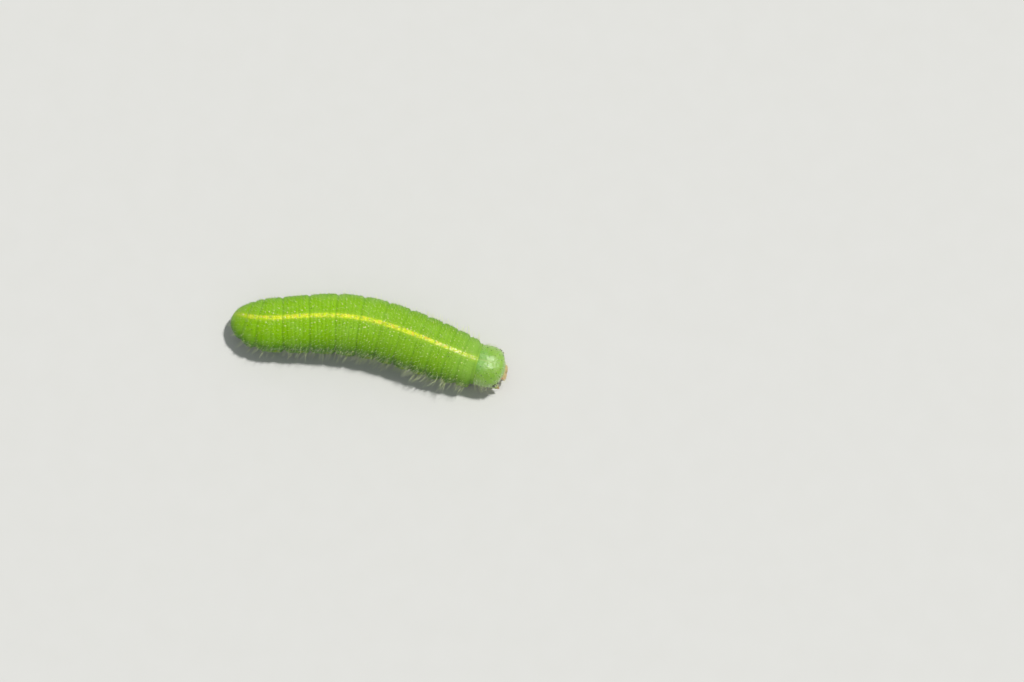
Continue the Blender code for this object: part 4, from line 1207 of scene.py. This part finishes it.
def plain_roots(at, out, lie, reach, spread=0.15):
    """Roots at given places on the legs, feet and lip, each at its place on the trunk's own map."""
    at = np.array(at)
    along, angle, aside = skin_place(at)
    marks = np.stack([along, np.abs(angle), np.abs(aside)], axis=1)
    lean = unit(lie + spread * rng.normal(size=at.shape))
    return gather_roots(at, lean, np.array(out), np.clip(along / TRUNK_LENGTH, 0.0, 1.0), angle, marks, reach)


claw_material = make_cloudy_material(
    "claw", (20.0, 2.0), (0.4, 0.6), (0.230, 0.110, 0.030), (0.330, 0.190, 0.060), (60.0,), (0.001, 0.3),
    Roughness=0.3, Coat_Weight=0.3,
)
hook_at, hook_out, hair_at, hair_out = [], [], [], []
for name, side, distance, *sizes in SOFT_FEET:
    rings = soft_foot_rings(side, distance, *sizes)
    inward = -side * np.array([-math.sin(heading(distance)), math.cos(heading(distance)), 0.0])
    ahead = np.array([inward[1], -inward[0], 0.0])
    ring = rings[-4]
    middle = ring.mean(axis=0)
    for turn in HOOK_TURNS:
        out = inward * math.cos(turn) + ahead * math.sin(turn)
        hook_at.append(middle + out * np.linalg.norm(ring[0] - middle) * 0.97)
        hook_out.append(out)
    for row, turns in FOOT_HAIRS:
        from_middle = rings[row] - rings[row].mean(axis=0)
        for turn in turns:
            out = -inward * math.cos(turn) + ahead * math.sin(turn)
            hair_at.append(rings[row][int((from_middle @ out).argmax())])
            hair_out.append(out)
down_way = np.array([0.0, 0.0, -1.0])
hook_lie = np.array(hook_out) * 0.2 + down_way
roots = plain_roots(hook_at, hook_out, hook_lie, np.full(len(hook_at), 0.055), 0.05)
crochets = grow("crochets", hooks, roots, claw_material, Root_radius=0.15, Sweep=3.3)
reach = 0.10 + 0.08 * rng.random(len(hair_at))
roots = plain_roots(hair_at, hair_out, np.array(hair_out) + 0.5 * down_way, reach)
thin = {"Joints": 5, "Root_radius": 0.035, "Tip_share": 0.2, "Bend": 0.2}
foot_hair = grow("foot_hair", strands, roots, hair_material, **thin)
leg_at, leg_out = [], []
for side, _ in SIDES:
    for name, _ in LEG_SEGMENTS:
        rings = leg_grid(side, SEGMENT_MIDDLES[name])
        for row in LEG_HAIR_ROWS:
            middle = rings[row].mean(axis=0)
            for pick in rng.choice(LEG_AROUND, LEG_HAIRS_PER_ROW, replace=False):
                leg_at.append(rings[row][pick])
                leg_out.append(unit(rings[row][pick] - middle))
reach = 0.07 + 0.05 * rng.random(len(leg_at))
roots = plain_roots(leg_at, leg_out, np.array(leg_out) + 0.6 * down_way, reach)
thin = {"Joints": 4, "Root_radius": 0.045, "Tip_share": 0.2, "Bend": 0.2}
leg_hair = grow("leg_hair", strands, roots, hair_material, **thin)

# Head hairs: short pale bristles scattered over both lobes among tiny black dots, longer ones that
# hang along the lower rim of the cheeks, and a few on the upper lip.
HEAD_HAIR_COUNT, CHEEK_HAIR_COUNT, CHEEK_ANGLES = 290, 60, (1.40, 2.0)
HEAD_DOTS = [
    (0.22, 0.35), (0.30, 0.80), (0.26, 1.35), (0.42, 0.22), (0.44, 0.62), (0.46, 1.05), (0.40, 1.62),
    (0.58, 0.36), (0.60, 0.82), (0.62, 1.22), (0.56, 1.95), (0.72, 0.52), (0.74, 0.98), (0.82, 0.28),
    (0.86, 0.74), (0.88, 1.20), (0.84, 1.75), (0.20, 1.85),
]
LIP_HAIRS = ((-18, (30, 36, 48, 54)), (-10, (28, 33, 40, 44, 51, 0)), (-5, (31, 37, 47, 53)))


def head_roots(share, angle, reach, wild=0.15, sink=0.004):
    """Roots on the head capsule, leaning down towards the face."""
    at = head_point(share, angle, -sink)
    behind = head_point(share - 0.02, angle, carved=False)
    ahead = unit(head_point(np.minimum(share + 0.02, 1.0), angle, carved=False) - behind)
    lie = unit(head_outward(share, angle) + 0.30 * ahead + wild * rng.normal(size=at.shape))
    marks = np.stack([np.full(len(share), TRUNK_LENGTH), np.abs(angle), np.abs(np.sin(angle))], axis=1)
    return gather_roots(at, lie, unit(ahead - np.array([0.0, 0.0, 0.6])), share, angle, marks, reach)


share = rng.uniform(0.10, 0.97, HEAD_HAIR_COUNT)
angle = np.clip(rng.normal(0.0, 1.3, HEAD_HAIR_COUNT), -2.6, 2.6)
cheek_side = rng.choice([-1.0, 1.0], CHEEK_HAIR_COUNT)
angle[-CHEEK_HAIR_COUNT:] = cheek_side * rng.uniform(*CHEEK_ANGLES, CHEEK_HAIR_COUNT)
reach = 0.13 + 0.10 * rng.random(HEAD_HAIR_COUNT) + 0.24 * smooth(np.abs(angle), 1.5, 2.1)
thin = {"Joints": 5, "Root_radius": 0.036, "Tip_share": 0.2, "Bend": 0.15}
head_hair = grow("head_hair", strands, head_roots(share, angle, reach), face_hair_material, **thin)
share = np.array([s for s, _ in HEAD_DOTS] * 2)
angle = np.array([a for _, a in HEAD_DOTS] + [-a for _, a in HEAD_DOTS])
roots = head_roots(share, angle, 0.022 + 0.008 * rng.random(len(share)), 0.0, 0.0)
head_dots = grow("head_dots", knobs, roots, dot_material, Subdivisions=2, Height=0.6)
lip_at, lip_out = [], []
for row, picks in LIP_HAIRS:
    for pick in picks:
        lip_at.append(lip_rings[row][pick])
        lip_out.append(unit(lip_rings[row][pick] - lip_rings[row].mean(axis=0)))
forward = unit(face_point(0.0, 0.0, 1.0) - face_point(0.0, 0.0, 0.0))
reach = 0.16 + 0.12 * rng.random(len(lip_at))
roots = plain_roots(lip_at, lip_out, 0.7 * np.array(lip_out) + 0.8 * forward, reach, 0.12)
thin = {"Joints": 5, "Root_radius": 0.045, "Tip_share": 0.2, "Bend": 0.12}
lip_hair = grow("lip_hair", strands, roots, face_hair_material, **thin)

# Floor, light and camera: a plain pale floor under one soft high key light, with an even pale fill. The
# camera looks down steeply on the larva's right side, at the photograph's angle and framing.
FLOOR_HALF = 0.6
AZIMUTH, ELEVATION = math.radians(10.0), math.radians(72.0)
AIM, AWAY = Vector((7.964, 1.011, 1.5)) * MM, 0.260
corners = [(FLOOR_HALF * x, FLOOR_HALF * y, 0.0) for x, y in ((-1, -1), (1, -1), (1, 1), (-1, 1))]
floor_mesh = bpy.data.meshes.new("floor")
floor_mesh.from_pydata(corners, [], [(0, 1, 2, 3)])
floor_material, tree, shader, point = new_material("floor", Roughness=0.75)
tint = blend(tree, noise(tree, point, 0.6, 2.0), (0.640, 0.640, 0.620), (0.660, 0.660, 0.645))
tree.links.new(tint, shader.inputs["Base Color"])
floor = add_piece("floor", floor_mesh, floor_material)

key = bpy.data.objects.new("key", bpy.data.lights.new("key", "SUN"))
key.data.energy, key.data.angle = 2.9, math.radians(5.0)
key.data.color = (1.0, 0.985, 0.95)
key.rotation_euler = Vector((0.36, 0.25, 1.0)).to_track_quat("Z", "Y").to_euler()
bpy.context.scene.collection.objects.link(key)
world = bpy.data.worlds.new("studio")
world.use_nodes = True
world.node_tree.nodes["Background"].inputs["Color"].default_value = (0.93, 0.97, 1.0, 1.0)
world.node_tree.nodes["Background"].inputs["Strength"].default_value = 0.34
bpy.context.scene.world = world
bpy.context.scene.view_settings.view_transform = "Standard"

camera = bpy.data.objects.new("camera", bpy.data.cameras.new("camera"))
camera.data.lens, camera.data.sensor_width = 160.0, 36.0
camera.data.clip_start, camera.data.clip_end = 0.01, 10.0
level = math.cos(ELEVATION)
away = Vector((math.sin(AZIMUTH) * level, -math.cos(AZIMUTH) * level, math.sin(ELEVATION)))
camera.location = AIM + AWAY * away
camera.rotation_euler = (math.pi / 2.0 - ELEVATION, 0.0, AZIMUTH)
bpy.context.scene.collection.objects.link(camera)
bpy.context.scene.camera = camera
